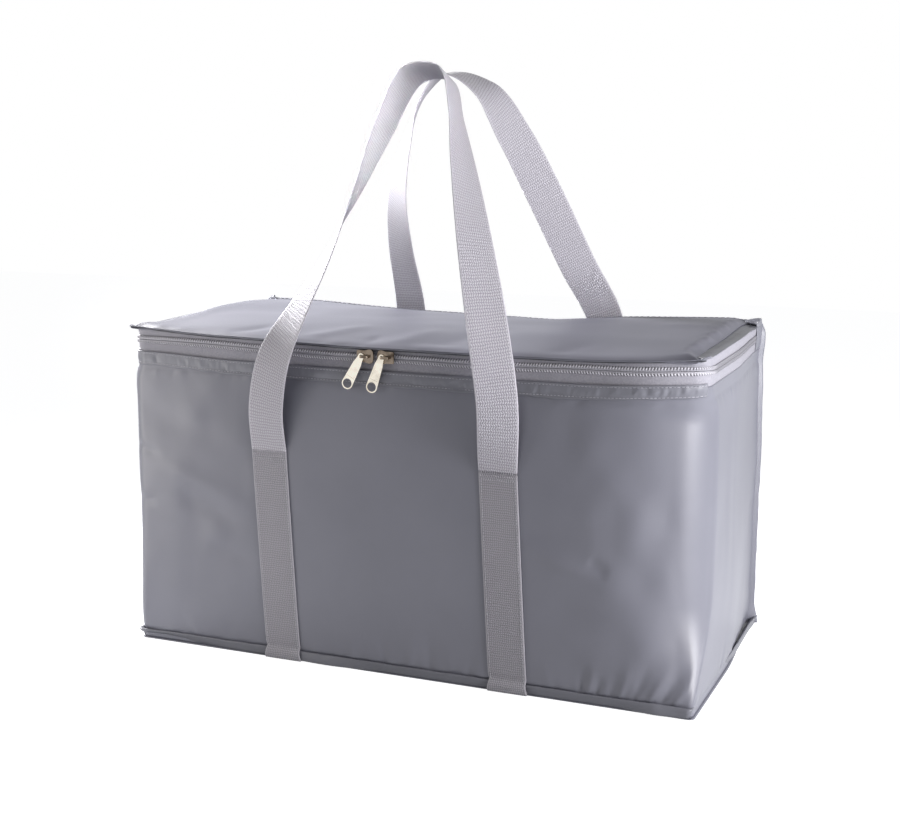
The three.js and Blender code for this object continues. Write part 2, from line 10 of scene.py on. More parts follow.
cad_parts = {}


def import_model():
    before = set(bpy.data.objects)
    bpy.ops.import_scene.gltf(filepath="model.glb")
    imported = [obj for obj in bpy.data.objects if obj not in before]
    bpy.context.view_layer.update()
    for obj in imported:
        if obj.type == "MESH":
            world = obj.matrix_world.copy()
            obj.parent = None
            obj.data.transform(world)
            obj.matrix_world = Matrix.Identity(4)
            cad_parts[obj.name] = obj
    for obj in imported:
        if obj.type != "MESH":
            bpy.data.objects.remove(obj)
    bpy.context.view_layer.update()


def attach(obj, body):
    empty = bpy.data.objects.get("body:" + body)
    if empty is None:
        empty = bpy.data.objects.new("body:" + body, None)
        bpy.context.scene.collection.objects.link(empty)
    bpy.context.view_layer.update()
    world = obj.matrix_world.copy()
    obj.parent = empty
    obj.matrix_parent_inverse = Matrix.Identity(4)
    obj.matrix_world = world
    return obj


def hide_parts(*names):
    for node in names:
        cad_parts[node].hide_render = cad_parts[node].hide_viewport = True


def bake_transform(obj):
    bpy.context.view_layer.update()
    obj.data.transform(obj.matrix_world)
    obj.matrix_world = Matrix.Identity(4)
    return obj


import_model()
MM = 0.001

# Sizes shared with the CAD source
WIDTH = 580.0
DEPTH = 280.0
HEIGHT = 322.0
CORNER = 16.0
LID_CORNER = 4.0
LID_CROWN = 9.0
FLANGE_HEIGHT = 9.0
STITCH_TOP = 212.0
WEB_WIDTH = 38.0
WEB_THICKNESS = 1.4
FRONT_FLOOR = (-123.0, 115.0)
FRONT_FEET = (-134.0, 104.0)
REAR_FEET = (-118.0, 120.0)
HALF_SPACING = 119.0
HANDLE_RISE = 361.0

# Sizes of the dressed bag
FOOT_CORNER = 5.0
WALL_FOOT = 0.9
WALL_DEPTH = 5.6
STRIP_TOP = 328.0
BAND_TOP = 297.7
BAND_HEIGHT = 13.5
TAPE_BASE = 294.4
TAPE_FACE = -0.9
TAPE_BACK = -1.5
COIL_PITCH = 2.6
COIL_LEAN = 0.55
COIL_LOWER = (306.5, 310.35)
COIL_UPPER = (314.5, 310.65)
LINING = 0.4

# Heights round the lid before it sags, and its rear end
PAD_RIM = 322.9
PAD_UNDER = 317.4
LINING_TOP = 316.9
STRIP_BASE = 319.4
LIP = 321.6
LIP_SHADOW_LEVEL = 320.9
TAPE_TOP_FRONT = 320.6
TAPE_TOP_SIDE = 322.9
PAD_REAR = 138.1

# Studio
CAMERA_PLACE = (0.5816, -1.3966, 0.5248)
CAMERA_YAW = -22.73
CAMERA_PITCH = 11.17
CAMERA_LENS = 60.26
ROOM_LIGHT = 0.1
FLOOR_GLOW = 0.93

# The wall's path: straight front, quarter-round corner and side, from the middle to a rear corner
HALF_W = WIDTH / 2
HALF_D = DEPTH / 2
STRAIGHT = HALF_W - CORNER
ARC = math.pi / 2 * CORNER
REAR_Y = HALF_D - 0.9
SIDE = REAR_Y + HALF_D - CORNER
CORNER_END = STRAIGHT + ARC
S_END = CORNER_END + SIDE
ZIP_END = S_END - 22.0
BAND_END_LEFT = CORNER_END
BAND_END_RIGHT = STRAIGHT + ARC * 0.55


# Small mathematics

def ease(x, start, end):
    """Climbs smoothly from 0 at start to 1 at end."""
    t = np.clip((x - start) / (end - start), 0, 1)
    return t * t * (3 - 2 * t)


def bump(x, centre, half):
    """Falls smoothly from 1 at the centre to 0 at a distance of half."""
    t = np.clip(np.abs((x - centre) / half), 0, 1)
    return (1 - t * t) ** 2


def through(x, points):
    """A smooth curve through (x, y) points, flat outside them."""
    xs, ys = np.array(points, float).T
    x = np.clip(x, xs[0], xs[-1])
    slopes = np.gradient(ys, xs)
    i = np.clip(np.searchsorted(xs, x) - 1, 0, len(xs) - 2)
    h = xs[i + 1] - xs[i]
    t = (x - xs[i]) / h
    a = (1 + 2 * t) * (1 - t) ** 2
    b = t * (1 - t) ** 2
    c = t * t * (3 - 2 * t)
    d = t * t * (t - 1)
    return a * ys[i] + b * h * slopes[i] + c * ys[i + 1] + d * h * slopes[i + 1]


def value_noise(x, y, seed):
    """Smooth noise from -1 to 1 on a unit lattice."""
    table = np.random.RandomState(seed).uniform(-1, 1, (256, 256))
    xi = np.floor(x).astype(int)
    yi = np.floor(y).astype(int)
    fx = x - xi
    fy = y - yi
    fx = fx * fx * (3 - 2 * fx)
    fy = fy * fy * (3 - 2 * fy)
    a = table[xi % 256, yi % 256]
    b = table[(xi + 1) % 256, yi % 256]
    c = table[xi % 256, (yi + 1) % 256]
    d = table[(xi + 1) % 256, (yi + 1) % 256]
    return (a * (1 - fx) + b * fx) * (1 - fy) + (c * (1 - fx) + d * fx) * fy


# Mesh making

def put(name, data):
    """Makes an object of a mesh, a lamp or a camera and links it to the scene."""
    obj = bpy.data.objects.new(name, data)
    bpy.context.scene.collection.objects.link(obj)
    return obj


def mesh_object(name, points, faces, material, uv=None):
    mesh = bpy.data.meshes.new(name)
    mesh.from_pydata((np.asarray(points, float) * MM).tolist(), [], [list(map(int, f)) for f in faces])
    if uv is not None:
        layer = mesh.uv_layers.new(name="cloth")
        loops = np.empty(len(mesh.loops), dtype=np.int64)
        mesh.loops.foreach_get("vertex_index", loops)
        layer.data.foreach_set("uv", np.asarray(uv, float)[loops].ravel())
    mesh.polygons.foreach_set("use_smooth", [True] * len(mesh.polygons))
    mesh.materials.append(material)
    mesh.update()
    return put(name, mesh)


def work_object(name, work, material, smooth):
    """Makes an object of an edit mesh, which is freed."""
    mesh = bpy.data.meshes.new(name)
    work.to_mesh(mesh)
    work.free()
    mesh.polygons.foreach_set("use_smooth", [smooth] * len(mesh.polygons))
    mesh.materials.append(material)
    return put(name, mesh)


def outward(obj):
    """Turns the faces of a closed mesh to point out."""
    work = bmesh.new()
    work.from_mesh(obj.data)
    bmesh.ops.recalc_face_normals(work, faces=work.faces)
    if work.calc_volume(signed=True) < 0:
        bmesh.ops.reverse_faces(work, faces=work.faces)
    work.to_mesh(obj.data)
    work.free()
    return obj


def grid_faces(rows, columns, wrap=False):
    faces = []
    for i in range(rows - 1):
        for j in range(columns if wrap else columns - 1):
            k = (j + 1) % columns
            a = i * columns
            b = a + columns
            faces.append((a + j, a + k, b + k, b + j))
    return faces


def grid_normals(points):
    """The direction out of a grid of points, at each of them."""
    across = np.gradient(points, axis=1)
    along = np.gradient(points, axis=0)
    normals = np.cross(across, along)
    return normals / np.maximum(np.linalg.norm(normals, axis=2, keepdims=True), 1e-9)


def cloth(name, outer, thickness, material, inner=None):
    """A closed sheet. outer is its grid of points; its back is inner, or lies a thickness behind."""
    rows, columns = outer.shape[:2]
    if inner is None:
        inner = outer - grid_normals(outer) * thickness
    points = np.concatenate([outer.reshape(-1, 3), inner.reshape(-1, 3)])
    n = rows * columns
    faces = grid_faces(rows, columns)
    faces += [tuple(n + k for k in reversed(f)) for f in faces]
    rim = list(range(columns))
    rim += [i * columns + columns - 1 for i in range(1, rows)]
    rim += [(rows - 1) * columns + j for j in range(columns - 2, -1, -1)]
    rim += [i * columns for i in range(rows - 2, 0, -1)]
    for a, b in zip(rim, rim[1:] + rim[:1]):
        faces.append((b, a, n + a, n + b))
    return outward(mesh_object(name, points, faces, material))


def tube_rows(name, rings, material, uv=None, capped=True):
    """Joins rings of points, of equal count, into a closed tube."""
    rings = np.asarray(rings, float)
    rows, count = rings.shape[:2]
    faces = grid_faces(rows, count, wrap=True)
    if capped:
        faces.append(tuple(range(count)))
        faces.append(tuple((rows - 1) * count + j for j in reversed(range(count))))
    return outward(mesh_object(name, rings.reshape(-1, 3), faces, material, uv=uv))


# The wall of the bag, followed from the middle of the front (s = 0) to each rear corner

def plan(s, radius):
    """The plan of the drawn wall: x and y of each place along it, then the direction out of it."""
    a = np.abs(s)
    side = np.where(s < 0, -1.0, 1.0)
    turn = np.clip((a - STRAIGHT) / ARC, 0, 1) * math.pi / 2
    run = np.clip((a - CORNER_END) / SIDE, 0, None)
    x = np.where(a <= STRAIGHT, a / STRAIGHT * (HALF_W - radius),
                 HALF_W - radius + radius * np.sin(turn))
    y = np.where(a <= CORNER_END, -(HALF_D - radius) - radius * np.cos(turn),
                 -(HALF_D - radius) + run * (REAR_Y + HALF_D - radius))
    return x * side, y, np.sin(turn) * side, -np.cos(turn)


def skin(x, y, z):
    """Points of the soft bag from places on the drawn box: the sides lean in towards the rear corners
    and the front falls back before it reaches its right corner."""
    x, y, z = np.broadcast_arrays(x, y, z)
    towards = np.where(x > 0, 8.0, 3.5) * ease(y, -10, 132) * (1 - 0.25 * ease(z, 280, 310))
    moved_x = x - np.sign(x) * towards * np.clip(np.abs(x) / HALF_W, 0, 1) ** 3
    depth = 42 * ease(z, -4, 95) - 16 * ease(z, 262, 304) - 14 * ease(z, 312, 322)
    start = 205 - 28 * ease(z, 30, 200) + 33 * ease(z, 268, 298)
    share = np.clip((x - start) / (HALF_W - start), 0, 1) ** 2.45
    moved_y = y + depth * share * (1 - ease(y, -125, 35))
    return np.stack([moved_x, moved_y, z], -1)


def beside(path, out, z):
    """Points of the soft bag at a distance out of a path that plan gives."""
    x, y, nx, ny = path
    return skin(x + nx * out, y + ny * out, z)


def pillow(s, z):
    """The soft swelling of the padded wall between its seams."""
    a = np.abs(s)
    top = BAND_TOP - BAND_HEIGHT + 1
    height = np.clip(z, 9, top)
    full = np.sin(np.pi * (height - 9) / (top - 9)) ** 0.7
    lips = (1 - np.exp(-(height - 9) / 5)) * (1 - np.exp(-(top - height) / 4))
    front = 1.2 - 1.8 * ease(s, 150, 250) - 1.2 * ease(-s, 200, 290)
    mix = ease(a, STRAIGHT + 2, CORNER_END + 6)
    side_lip = np.where(s < 0, 2.2, 1.4)
    return full * (front * (1 - mix) + 1.0 * mix) + lips * (1.9 * (1 - mix) + side_lip * mix)


def from_line(s, z, start, end):
    """The length of a line, and how far each place lies along it and across it."""
    dx = end[0] - start[0]
    dz = end[1] - start[1]
    length = math.hypot(dx, dz)
    along = ((s - start[0]) * dx + (z - start[1]) * dz) / length
    across = ((s - start[0]) * dz - (z - start[1]) * dx) / length
    return length, along, across


def ridge(s, z, start, end, width, height):
    """A crease from start to end that dies out at both, in wall coordinates."""
    length, along, across = from_line(s, z, start, end)
    fade = ease(along, -0.15 * length, 0.2 * length) * (1 - ease(along, 0.6 * length, 1.1 * length))
    return height * fade * np.exp(-(across / width) ** 2)


def pockets(s, z, seam, seed, step, reach, height, direction):
    """Puckers that run from a seam into the wall, at uneven steps, and widen as they die out."""
    random = np.random.RandomState(seed)
    total = np.zeros(np.broadcast(s, z).shape)
    at = -S_END
    away = np.clip(direction * (z - seam), 0, None)
    while at < S_END:
        at += step * random.uniform(0.5, 1.7)
        width = step * random.uniform(0.14, 0.34)
        run = reach * random.uniform(0.45, 1.5)
        tilt = random.uniform(-0.45, 0.45)
        tall = height * random.uniform(-0.9, 1.0)
        fade = ease(away, 0, 3) * np.exp(-away / run)
        total += tall * fade * np.exp(-((s - at - tilt * away) / (width * (1 + 0.8 * away / run))) ** 2)
    return total


def pucker(s, z, foot, tip, width, height):
    """One pucker from its foot on a seam, narrow and deep there, to its tip, wide and faint."""
    length, along, across = from_line(s, z, foot, tip)
    share = np.clip(along / length, 0, 1.3)
    fade = ease(along, -1, 4) * (1 - ease(share, 0.1, 1.25))
    return height * fade * np.exp(-(across / (width * (0.6 + 1.4 * share))) ** 2)


# Creases of the wall: start, end, width and height
WALL_CREASES = [
    ((124, 150), (216, 112), 8, 1.0), ((126, 160), (196, 158), 13, -0.9),
    ((150, 128), (238, 88), 17, 0.7), ((196, 136), (212, 124), 7, -1.3),
    ((238, 150), (205, 210), 22, 1.2), ((262, 190), (232, 60), 15, -0.9),
    ((-252, 188), (-150, 150), 11, 1.3), ((-236, 160), (-160, 132), 12, -1.2),
    ((-262, 236), (-170, 212), 12, -0.8), ((-200, 108), (-150, 96), 8, -0.8),
    ((-290, 206), (-255, 196), 5, -1.2), ((-292, 150), (-262, 146), 6, -1.2),
]

# Puckers over the seam of the foot: place along the seam, tip, width and height
FOOT_PUCKERS = [
    (-45, (-50, 46), 5, 0.9), (-12, (-15, 42), 4, -1.1), (13, (17, 48), 4, 1.1), (34, (33, 52), 5, -1.5),
    (55, (51, 48), 5, 1.1), (72, (78, 40), 4, -1.2), (178, (183, 34), 2.6, -2.2),
    (185, (192, 38), 2.6, 1.7),
    (193, (199, 30), 2.2, -1.8), (206, (212, 34), 2.6, -1.4), (214, (226, 46), 3.2, 1.5),
    (226, (246, 54), 3.4, -1.5), (240, (262, 50), 3.2, 1.6), (250, (272, 44), 3.2, -1.7),
    (262, (282, 40), 3.0, 1.4), (-215, (-222, 44), 6, 0.9), (-180, (-176, 40), 5, -0.8),
]


def creases(s, z):
    """Wrinkles of the outer fabric alone."""
    foot = FLANGE_HEIGHT + 0.5
    total = pockets(s, z, foot, 11, 17, 9, 1.7, 1)
    total += pockets(s, z, BAND_TOP - BAND_HEIGHT + 1, 7, 12, 6, 1.1, -1)
    body = ease(z, 12, 60) * (1 - ease(z, 250, 284))
    total += 1.0 * value_noise(s / 95 + 3.3, z / 80 + 1.7, 21) * body
    total += 0.45 * value_noise(s / 34, z / 46, 22) * body
    cloudy = ease(s, 140, 200) * (1 - ease(s, 262, 276))
    cloudy = cloudy + 0.6 * ease(-s, 150, 200) * (1 - ease(-s, 268, 282))
    level = ease(z, 10, 40) * (1 - ease(z, 262, 284))
    total += 1.1 * cloudy * value_noise(s / 24 + 7, z / 30 + 2, 23) * level
    for crease in WALL_CREASES:
        total += ridge(s, z, *crease)
    for at, tip, width, height in FOOT_PUCKERS:
        total += pucker(s, z, (at, foot), tip, width, height)
    held = bump(s, -127, 26) + bump(s, 112, 26)
    return total * (1 - 0.85 * held * ease(STITCH_TOP + 8 - z, 0, 12))


def corner_radius(s, z):
    """The front corners are sharp at the foot and rounder above it."""
    full = np.where(s > 0, 21.0 - 9 * ease(z, 270, 300), 11.0 + 5 * ease(z, 262, 290))
    return FOOT_CORNER + (full - FOOT_CORNER) * ease(z, 10, 150)


def wall(s, out, z, radius=None, soft=1.0, creased=False):
    """A point of the wall at a distance out of its outer face."""
    distance = out + soft * pillow(s, z)
    if creased:
        distance = distance + creases(s, z)
    return beside(plan(s, corner_radius(s, z) if radius is None else radius), distance, z)


# Materials

class Nodes:
    """A node tree in short form. Each method adds nodes and gives back one of their outputs."""

    def __init__(self, tree):
        self.tree = tree

    def feed(self, node, inputs):
        """Sets each input to a value, or links it to the output that is given for it."""
        for key, value in inputs.items():
            if isinstance(value, bpy.types.NodeSocket):
                self.tree.links.new(value, node.inputs[key])
            else:
                node.inputs[key].default_value = value

    def add(self, kind, inputs, out=0, **settings):
        node = self.tree.nodes.new(kind)
        for key, value in settings.items():
            setattr(node, key, value)
        self.feed(node, inputs)
        return node.outputs[out] if len(node.outputs) else None

    def maths(self, operation, *values):
        return self.add("ShaderNodeMath", dict(enumerate(values)), operation=operation)

    def place(self):
        return self.add("ShaderNodeTexCoord", {}, out="Object")

    def chart(self):
        """The chart of a piece, with its u and its v."""
        chart = self.add("ShaderNodeUVMap", {}, uv_map="cloth")
        split = self.tree.nodes.new("ShaderNodeSeparateXYZ")
        self.feed(split, {0: chart})
        return chart, split.outputs[0], split.outputs[1]

    def noise(self, place, scale, detail=2):
        return self.add("ShaderNodeTexNoise", {"Vector": place, "Scale": scale, "Detail": detail})

    def spread(self, value, low, high):
        return self.add("ShaderNodeMapRange", {"Value": value, "To Min": low, "To Max": high})

    def onset(self, value, start, end):
        return self.add("ShaderNodeMapRange", {"Value": value, "From Min": start, "From Max": end})

    def ramp(self, value, start, first, end, last):
        """A blend from the first colour at start to the last one at end."""
        node = self.tree.nodes.new("ShaderNodeValToRGB")
        for element, at, colour in zip(node.color_ramp.elements, (start, end), (first, last)):
            element.position = at
            element.color = (*colour, 1)
        self.feed(node, {0: value})
        return node.outputs["Color"]

    def mix(self, share, first, last):
        inputs = {"Factor": share, 6: first, 7: (*last, 1)}
        return self.add("ShaderNodeMix", inputs, out=2, data_type="RGBA")

    def relief(self, height, strength, distance):
        return self.add("ShaderNodeBump", {"Height": height, "Strength": strength, "Distance": distance})


def new_material(name):
    material = bpy.data.materials.new(name)
    material.use_nodes = True
    return material, Nodes(material.node_tree)


def finished(material, nodes, colour, roughness, normal, uniform):
    inputs = {"Base Color": colour, "Roughness": roughness, "Normal": normal, **uniform}
    nodes.feed(material.node_tree.nodes["Principled BSDF"], inputs)
    return material


def satin_fabric(name, dark, light, roughness, weave=0.04, shine=0.5):
    """Coated polyester: a fine plain weave, soft mottling and a satin gloss."""
    material, nodes = new_material(name)
    place = nodes.place()
    cloudy = nodes.noise(place, 9, 4)
    threads = [nodes.add("ShaderNodeTexWave", {"Vector": place, "Scale": 420, "Distortion": 0.4},
                         out="Fac", bands_direction=direction) for direction in "XYZ"]
    total = nodes.maths("ADD", nodes.maths("ADD", threads[0], threads[1]), threads[2])
    total = nodes.maths("ADD", total, nodes.maths("MULTIPLY", nodes.noise(place, 160, 3), 1.5))
    return finished(material, nodes, nodes.ramp(cloudy, 0.3, dark, 0.7, light),
                    nodes.spread(cloudy, *roughness), nodes.relief(total, weave, 0.0004),
                    {"Specular IOR Level": shine})


def webbing_material(name, base, valley, row_pitch, column_pitch, lean, depth):
    """Woven webbing: rows of short slanted stitches that lean the other way every second row.
    The chart's u is the distance from the middle of the band and v runs along it, in millimetres."""
    material, nodes = new_material(name)
    maths = nodes.maths
    chart, across, along = nodes.chart()
    drift = maths("MULTIPLY", maths("SUBTRACT", nodes.noise(chart, 0.09), 0.5), 3.0)
    row = maths("DIVIDE", maths("ADD", along, drift), row_pitch)
    odd = maths("SUBTRACT", maths("MULTIPLY", maths("PINGPONG", maths("FLOOR", row), 1.0), 2.0), 1.0)
    inside = maths("SUBTRACT", maths("FRACT", row), 0.5)
    slant = maths("MULTIPLY", maths("MULTIPLY", inside, odd), lean)
    column = maths("ADD", maths("DIVIDE", across, column_pitch), slant)
    cell = maths("ABSOLUTE", maths("SINE", maths("MULTIPLY", column, math.pi)))
    rib = maths("COSINE", maths("MULTIPLY", inside, math.pi))
    height = maths("MULTIPLY", maths("POWER", cell, 0.7), maths("POWER", rib, 0.4))
    edge = maths("GREATER_THAN", maths("ABSOLUTE", across), WEB_WIDTH / 2 - 1.5)
    height = maths("MAXIMUM", height, maths("MULTIPLY", edge, 0.75))
    fibres = maths("SUBTRACT", nodes.noise(chart, 1.3, 3), 0.5)
    tone = maths("ADD", height, maths("MULTIPLY", fibres, 0.6))
    return finished(material, nodes, nodes.ramp(tone, 0.2, valley, 0.9, base),
                    nodes.spread(tone, 0.75, 0.55), nodes.relief(tone, depth, 0.0006),
                    {"Sheen Weight": 0.25, "Sheen Roughness": 0.4})


def plain_cloth(name, dark, light, roughness, scale, strength):
    """Tape, thread and the painted lip shadow: a mottled matt surface with a small grain."""
    material, nodes = new_material(name)
    grain = nodes.noise(nodes.place(), scale, 5)
    return finished(material, nodes, nodes.ramp(grain, 0.35, dark, 0.65, light), roughness,
                    nodes.relief(grain, strength, 0.0005), {"Sheen Weight": 0.1})


def coil_material(name, gap, middle, top):
    """Nylon coil: bright slanting turns with dark gaps along the outer row, plain where the halves
    meet and along the right side, where it lies in the colour of the gaps. The chart's u is the
    distance along the zip and v runs from the outer row (0) to the middle (1)."""
    material, nodes = new_material(name)
    maths = nodes.maths
    chart, along, across = nodes.chart()
    turn = maths("ADD", maths("DIVIDE", along, COIL_PITCH), maths("MULTIPLY", across, COIL_LEAN))
    wave = maths("MULTIPLY", maths("COSINE", maths("MULTIPLY", turn, 2 * math.pi)), 0.5)
    fibres = nodes.noise(chart, 1.4)
    uneven = maths("MULTIPLY", maths("SUBTRACT", fibres, 0.5), 0.5)
    beads = nodes.ramp(maths("ADD", maths("ADD", wave, 0.5), uneven), 0.15, gap, 0.75, top)
    colour = nodes.mix(nodes.onset(across, 0.5, 0.75), beads, middle)
    colour = nodes.mix(nodes.onset(along, STRAIGHT + ARC * 0.6, CORNER_END + 14), colour, gap)
    return finished(material, nodes, colour, nodes.spread(fibres, 0.42, 0.6),
                    nodes.relief(fibres, 0.4, 0.0003), {})


def metal_material(name, dark, bright, roughness, patches):
    """Plated metal with fine scratches and darker patches of tarnish."""
    material, nodes = new_material(name)
    place = nodes.place()
    tarnish = nodes.noise(place, patches, 4)
    return finished(material, nodes, nodes.ramp(tarnish, 0.35, dark, 0.55, bright),
                    nodes.spread(tarnish, roughness * 1.4, roughness * 0.7),
                    nodes.relief(nodes.noise(place, 900), 0.08, 0.0001), {"Metallic": 1.0})


SHELL = satin_fabric("shell_satin", (0.134, 0.136, 0.166), (0.153, 0.155, 0.187), (0.37, 0.46),
                     shine=0.53)
LID_CLOTH = satin_fabric("lid_satin", (0.14, 0.141, 0.17), (0.158, 0.159, 0.191), (0.46, 0.56),
                         shine=0.12)
# A darker copy of the shell satin: painted shade on the flange round the foot and on the sunken strips
# beside the lid, where little light reaches.
SHADED_FOLD_CLOTH = satin_fabric("shaded_fold_satin", (0.12, 0.122, 0.142), (0.15, 0.152, 0.177), (0.42, 0.52),
                          shine=0.35)
# A slightly darker copy of the shell satin: painted shade on the band, which lies recessed under the
# zip.
SHADED_BAND_CLOTH = satin_fabric("shaded_band_satin", (0.146, 0.148, 0.174), (0.168, 0.171, 0.199), (0.4, 0.5),
                          shine=0.45)
# Near black: painted shadow for the gap under the lip of the lid.
SEAM_SHADE = plain_cloth("lip_shadow_tone", (0.03, 0.03, 0.036), (0.05, 0.05, 0.058), 0.8, 900, 0.3)
WEB = webbing_material("webbing_weave", (0.50, 0.485, 0.535), (0.27, 0.26, 0.295), 2.9, 2.2, 0.6, 0.6)
# A darker copy of the webbing for the sewn straps: painted shade where they lie flat on the wall; its
# finer rows are the real finer weave.
WEB_SEWN_SHADED = webbing_material("webbing_sewn_shaded", (0.335, 0.325, 0.36), (0.17, 0.165, 0.185), 2.2, 1.9,
                            0.5, 0.6)
TAPE = plain_cloth("zip_tape_cloth", (0.235, 0.23, 0.265), (0.285, 0.28, 0.318), 0.8, 700, 0.5)
COIL = coil_material("zip_coil_nylon", (0.15, 0.148, 0.167), (0.265, 0.26, 0.293),
                     (0.45, 0.44, 0.485))
THREAD = plain_cloth("thread", (0.34, 0.335, 0.37), (0.44, 0.43, 0.47), 0.6, 900, 0.3)
FOIL = satin_fabric("liner_foil", (0.48, 0.49, 0.51), (0.58, 0.59, 0.61), (0.42, 0.54), 0.03)
NICKEL = metal_material("nickel_pull", (0.70, 0.64, 0.54), (0.86, 0.81, 0.71), 0.2, 70)
NICKEL_DARK = metal_material("nickel_slider", (0.07, 0.052, 0.04), (0.24, 0.195, 0.155), 0.16, 110)


# Walls. The body wall is one shell from a rear corner round the front to the other rear corner.

def around(last, counts):
    """Places along the wall from -last to last, with a count for each side, corner and the front."""
    stops = [-last, -CORNER_END, -STRAIGHT, STRAIGHT, CORNER_END, last]
    parts = [np.linspace(a, b, n, endpoint=False) for a, b, n in zip(stops[:4], stops[1:5], counts)]
    return np.concatenate(parts + [np.linspace(stops[4], last, counts[4])])


def body_wall():
    z = np.concatenate([
        np.linspace(WALL_FOOT, 14, 7, endpoint=False),
        np.linspace(14, 270, 104, endpoint=False),
        np.linspace(270, BAND_TOP, 16),
    ])
    grid_s, grid_z = np.meshgrid(around(S_END, (70, 14, 260, 14, 70)), z)
    outer = wall(grid_s, 0, grid_z, creased=True)
    inner = wall(grid_s, -WALL_DEPTH, grid_z, soft=0.4)
    obj = cloth("body_wall", outer, 0, SHELL, inner=inner)
    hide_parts("wrap_panel", "foam_wrap")
    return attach(obj, "bag_body")


def rear_wall():
    half = HALF_W - 0.4
    x = np.linspace(-half, half, 130)
    z = np.linspace(WALL_FOOT, HEIGHT - 2.2, 90)
    grid_x, grid_z = np.meshgrid(x, z)
    folds = pockets(grid_x, grid_z, 10, 31, 26, 14, 0.8, 1)
    folds = folds + pockets(grid_x, grid_z, 314, 32, 30, 12, 0.7, -1)
    body = ease(grid_z, 10, 50) * ease(312 - grid_z, 0, 40)
    folds = folds + 0.9 * value_noise(grid_x / 90, grid_z / 80, 33) * body
    held = bump(grid_x, -HALF_SPACING, 26) + bump(grid_x, HALF_SPACING, 26)
    folds = folds * (1 - 0.85 * held)
    y = HALF_D - 0.3 + (rear_swell(grid_x, grid_z, half) + folds) * 0.9
    drop = rear_sag(grid_x) * ease(grid_z, 230, 320)
    inner = skin(grid_x, HALF_D - WALL_DEPTH, grid_z + drop)
    obj = cloth("rear_wall", skin(grid_x, y, grid_z + drop), 0, SHELL, inner=inner)
    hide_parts("rear_panel", "foam_rear")
    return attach(obj, "bag_body")


def rear_swell(x, z, half):
    """The soft swelling of the rear wall between its seams."""
    return 3.0 * (1 - (x / half) ** 4) * np.sin(np.pi * np.clip(z / 316, 0, 1)) ** 0.7


# How far the rear and the front edge of the lid sag below the drawn one, and climb at its ears
REAR_LINE = [(-292, 1.2), (-230, 0.6), (-160, -2.6), (-86, -5.0), (-47, -5.4), (5, -6.4), (77, -6.8),
             (137, -1.0), (190, 1.5), (230, 3.0), (285, 4.5)]
FRONT_LINE = [(-293, 3.0), (-257, 0.6), (-210, -1.0), (-150, -1.8), (-99, -3.2), (-60, -4.0), (0, -4.0),
              (120, -3.6), (190, -2.8), (244, -0.4), (291, 2.0)]


def rear_sag(x):
    return through(x, REAR_LINE)


def side_rise(x, y):
    left = through(y, [(-143, 1.5), (-110, 0.2), (-77, 0.2), (-24, 2.5), (24, 3.4), (75, 2.4),
                       (139, 0.0)])
    right = through(y, [(-143, 0.0), (-110, 1.6), (0, 2.4), (100, 2.2), (139, 0.0)])
    return left * ease(-x, 190, 285) + right * ease(x, 190, 280)


def lid_rise(x, y):
    """How far the seam line of the lid stands above or below the drawn one."""
    t = np.clip((y + HALF_D) / DEPTH, 0, 1)
    return (1 - t) * through(x, FRONT_LINE) + t * rear_sag(x) + side_rise(x, y)


def ring(out, z, soft, rear_out, radius, count=1):
    """Points right round the bag at one distance out of the wall and one height."""
    s = around(S_END + rear_out, [n * count for n in (36, 8, 90, 8, 36)])
    points = wall(s, out, z, radius=radius, soft=soft)
    last = points[-1]
    t = np.linspace(0, 1, 70 * count + 2)[1:-1, None]
    return np.concatenate([points, last + (points[0] - last) * t])


def sweep(name, s, outline, material, chart=None):
    """Sweeps a closed outline of (out, z) points along the wall.
    chart gives each point of the outline its second texture coordinate."""
    out = np.stack([np.broadcast_to(o, s.shape) for o, _ in outline], 1)
    z = np.stack([np.broadcast_to(h, s.shape) for _, h in outline], 1)
    uv = None
    if chart is not None:
        uv = np.stack([np.repeat(s, len(outline)), np.tile(chart, len(s))], 1)
    return tube_rows(name, wall(s[:, None], out, z), material, uv=uv)


# Foot of the bag

def floor_pad():
    rows = []
    for out, z in [(2.1, 0.0), (2.1, 0.6), (0.2, 0.7), (-6.2, 0.9), (-6.3, 5.0), (-7.2, 5.9)]:
        rows.append(ring(out, z, 0, out, FOOT_CORNER - 2))
    shares = (0.02, 0.3, 0.6, 0.85, 0.97)
    under = [rows[0] * [f, f, 1] for f in shares]
    over = [rows[-1] * [f, f, 1] for f in reversed(shares)]
    obj = tube_rows("floor_pad", under + rows + over, SHELL)
    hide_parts("bottom_panel", "foam_bottom")
    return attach(obj, "bag_body")


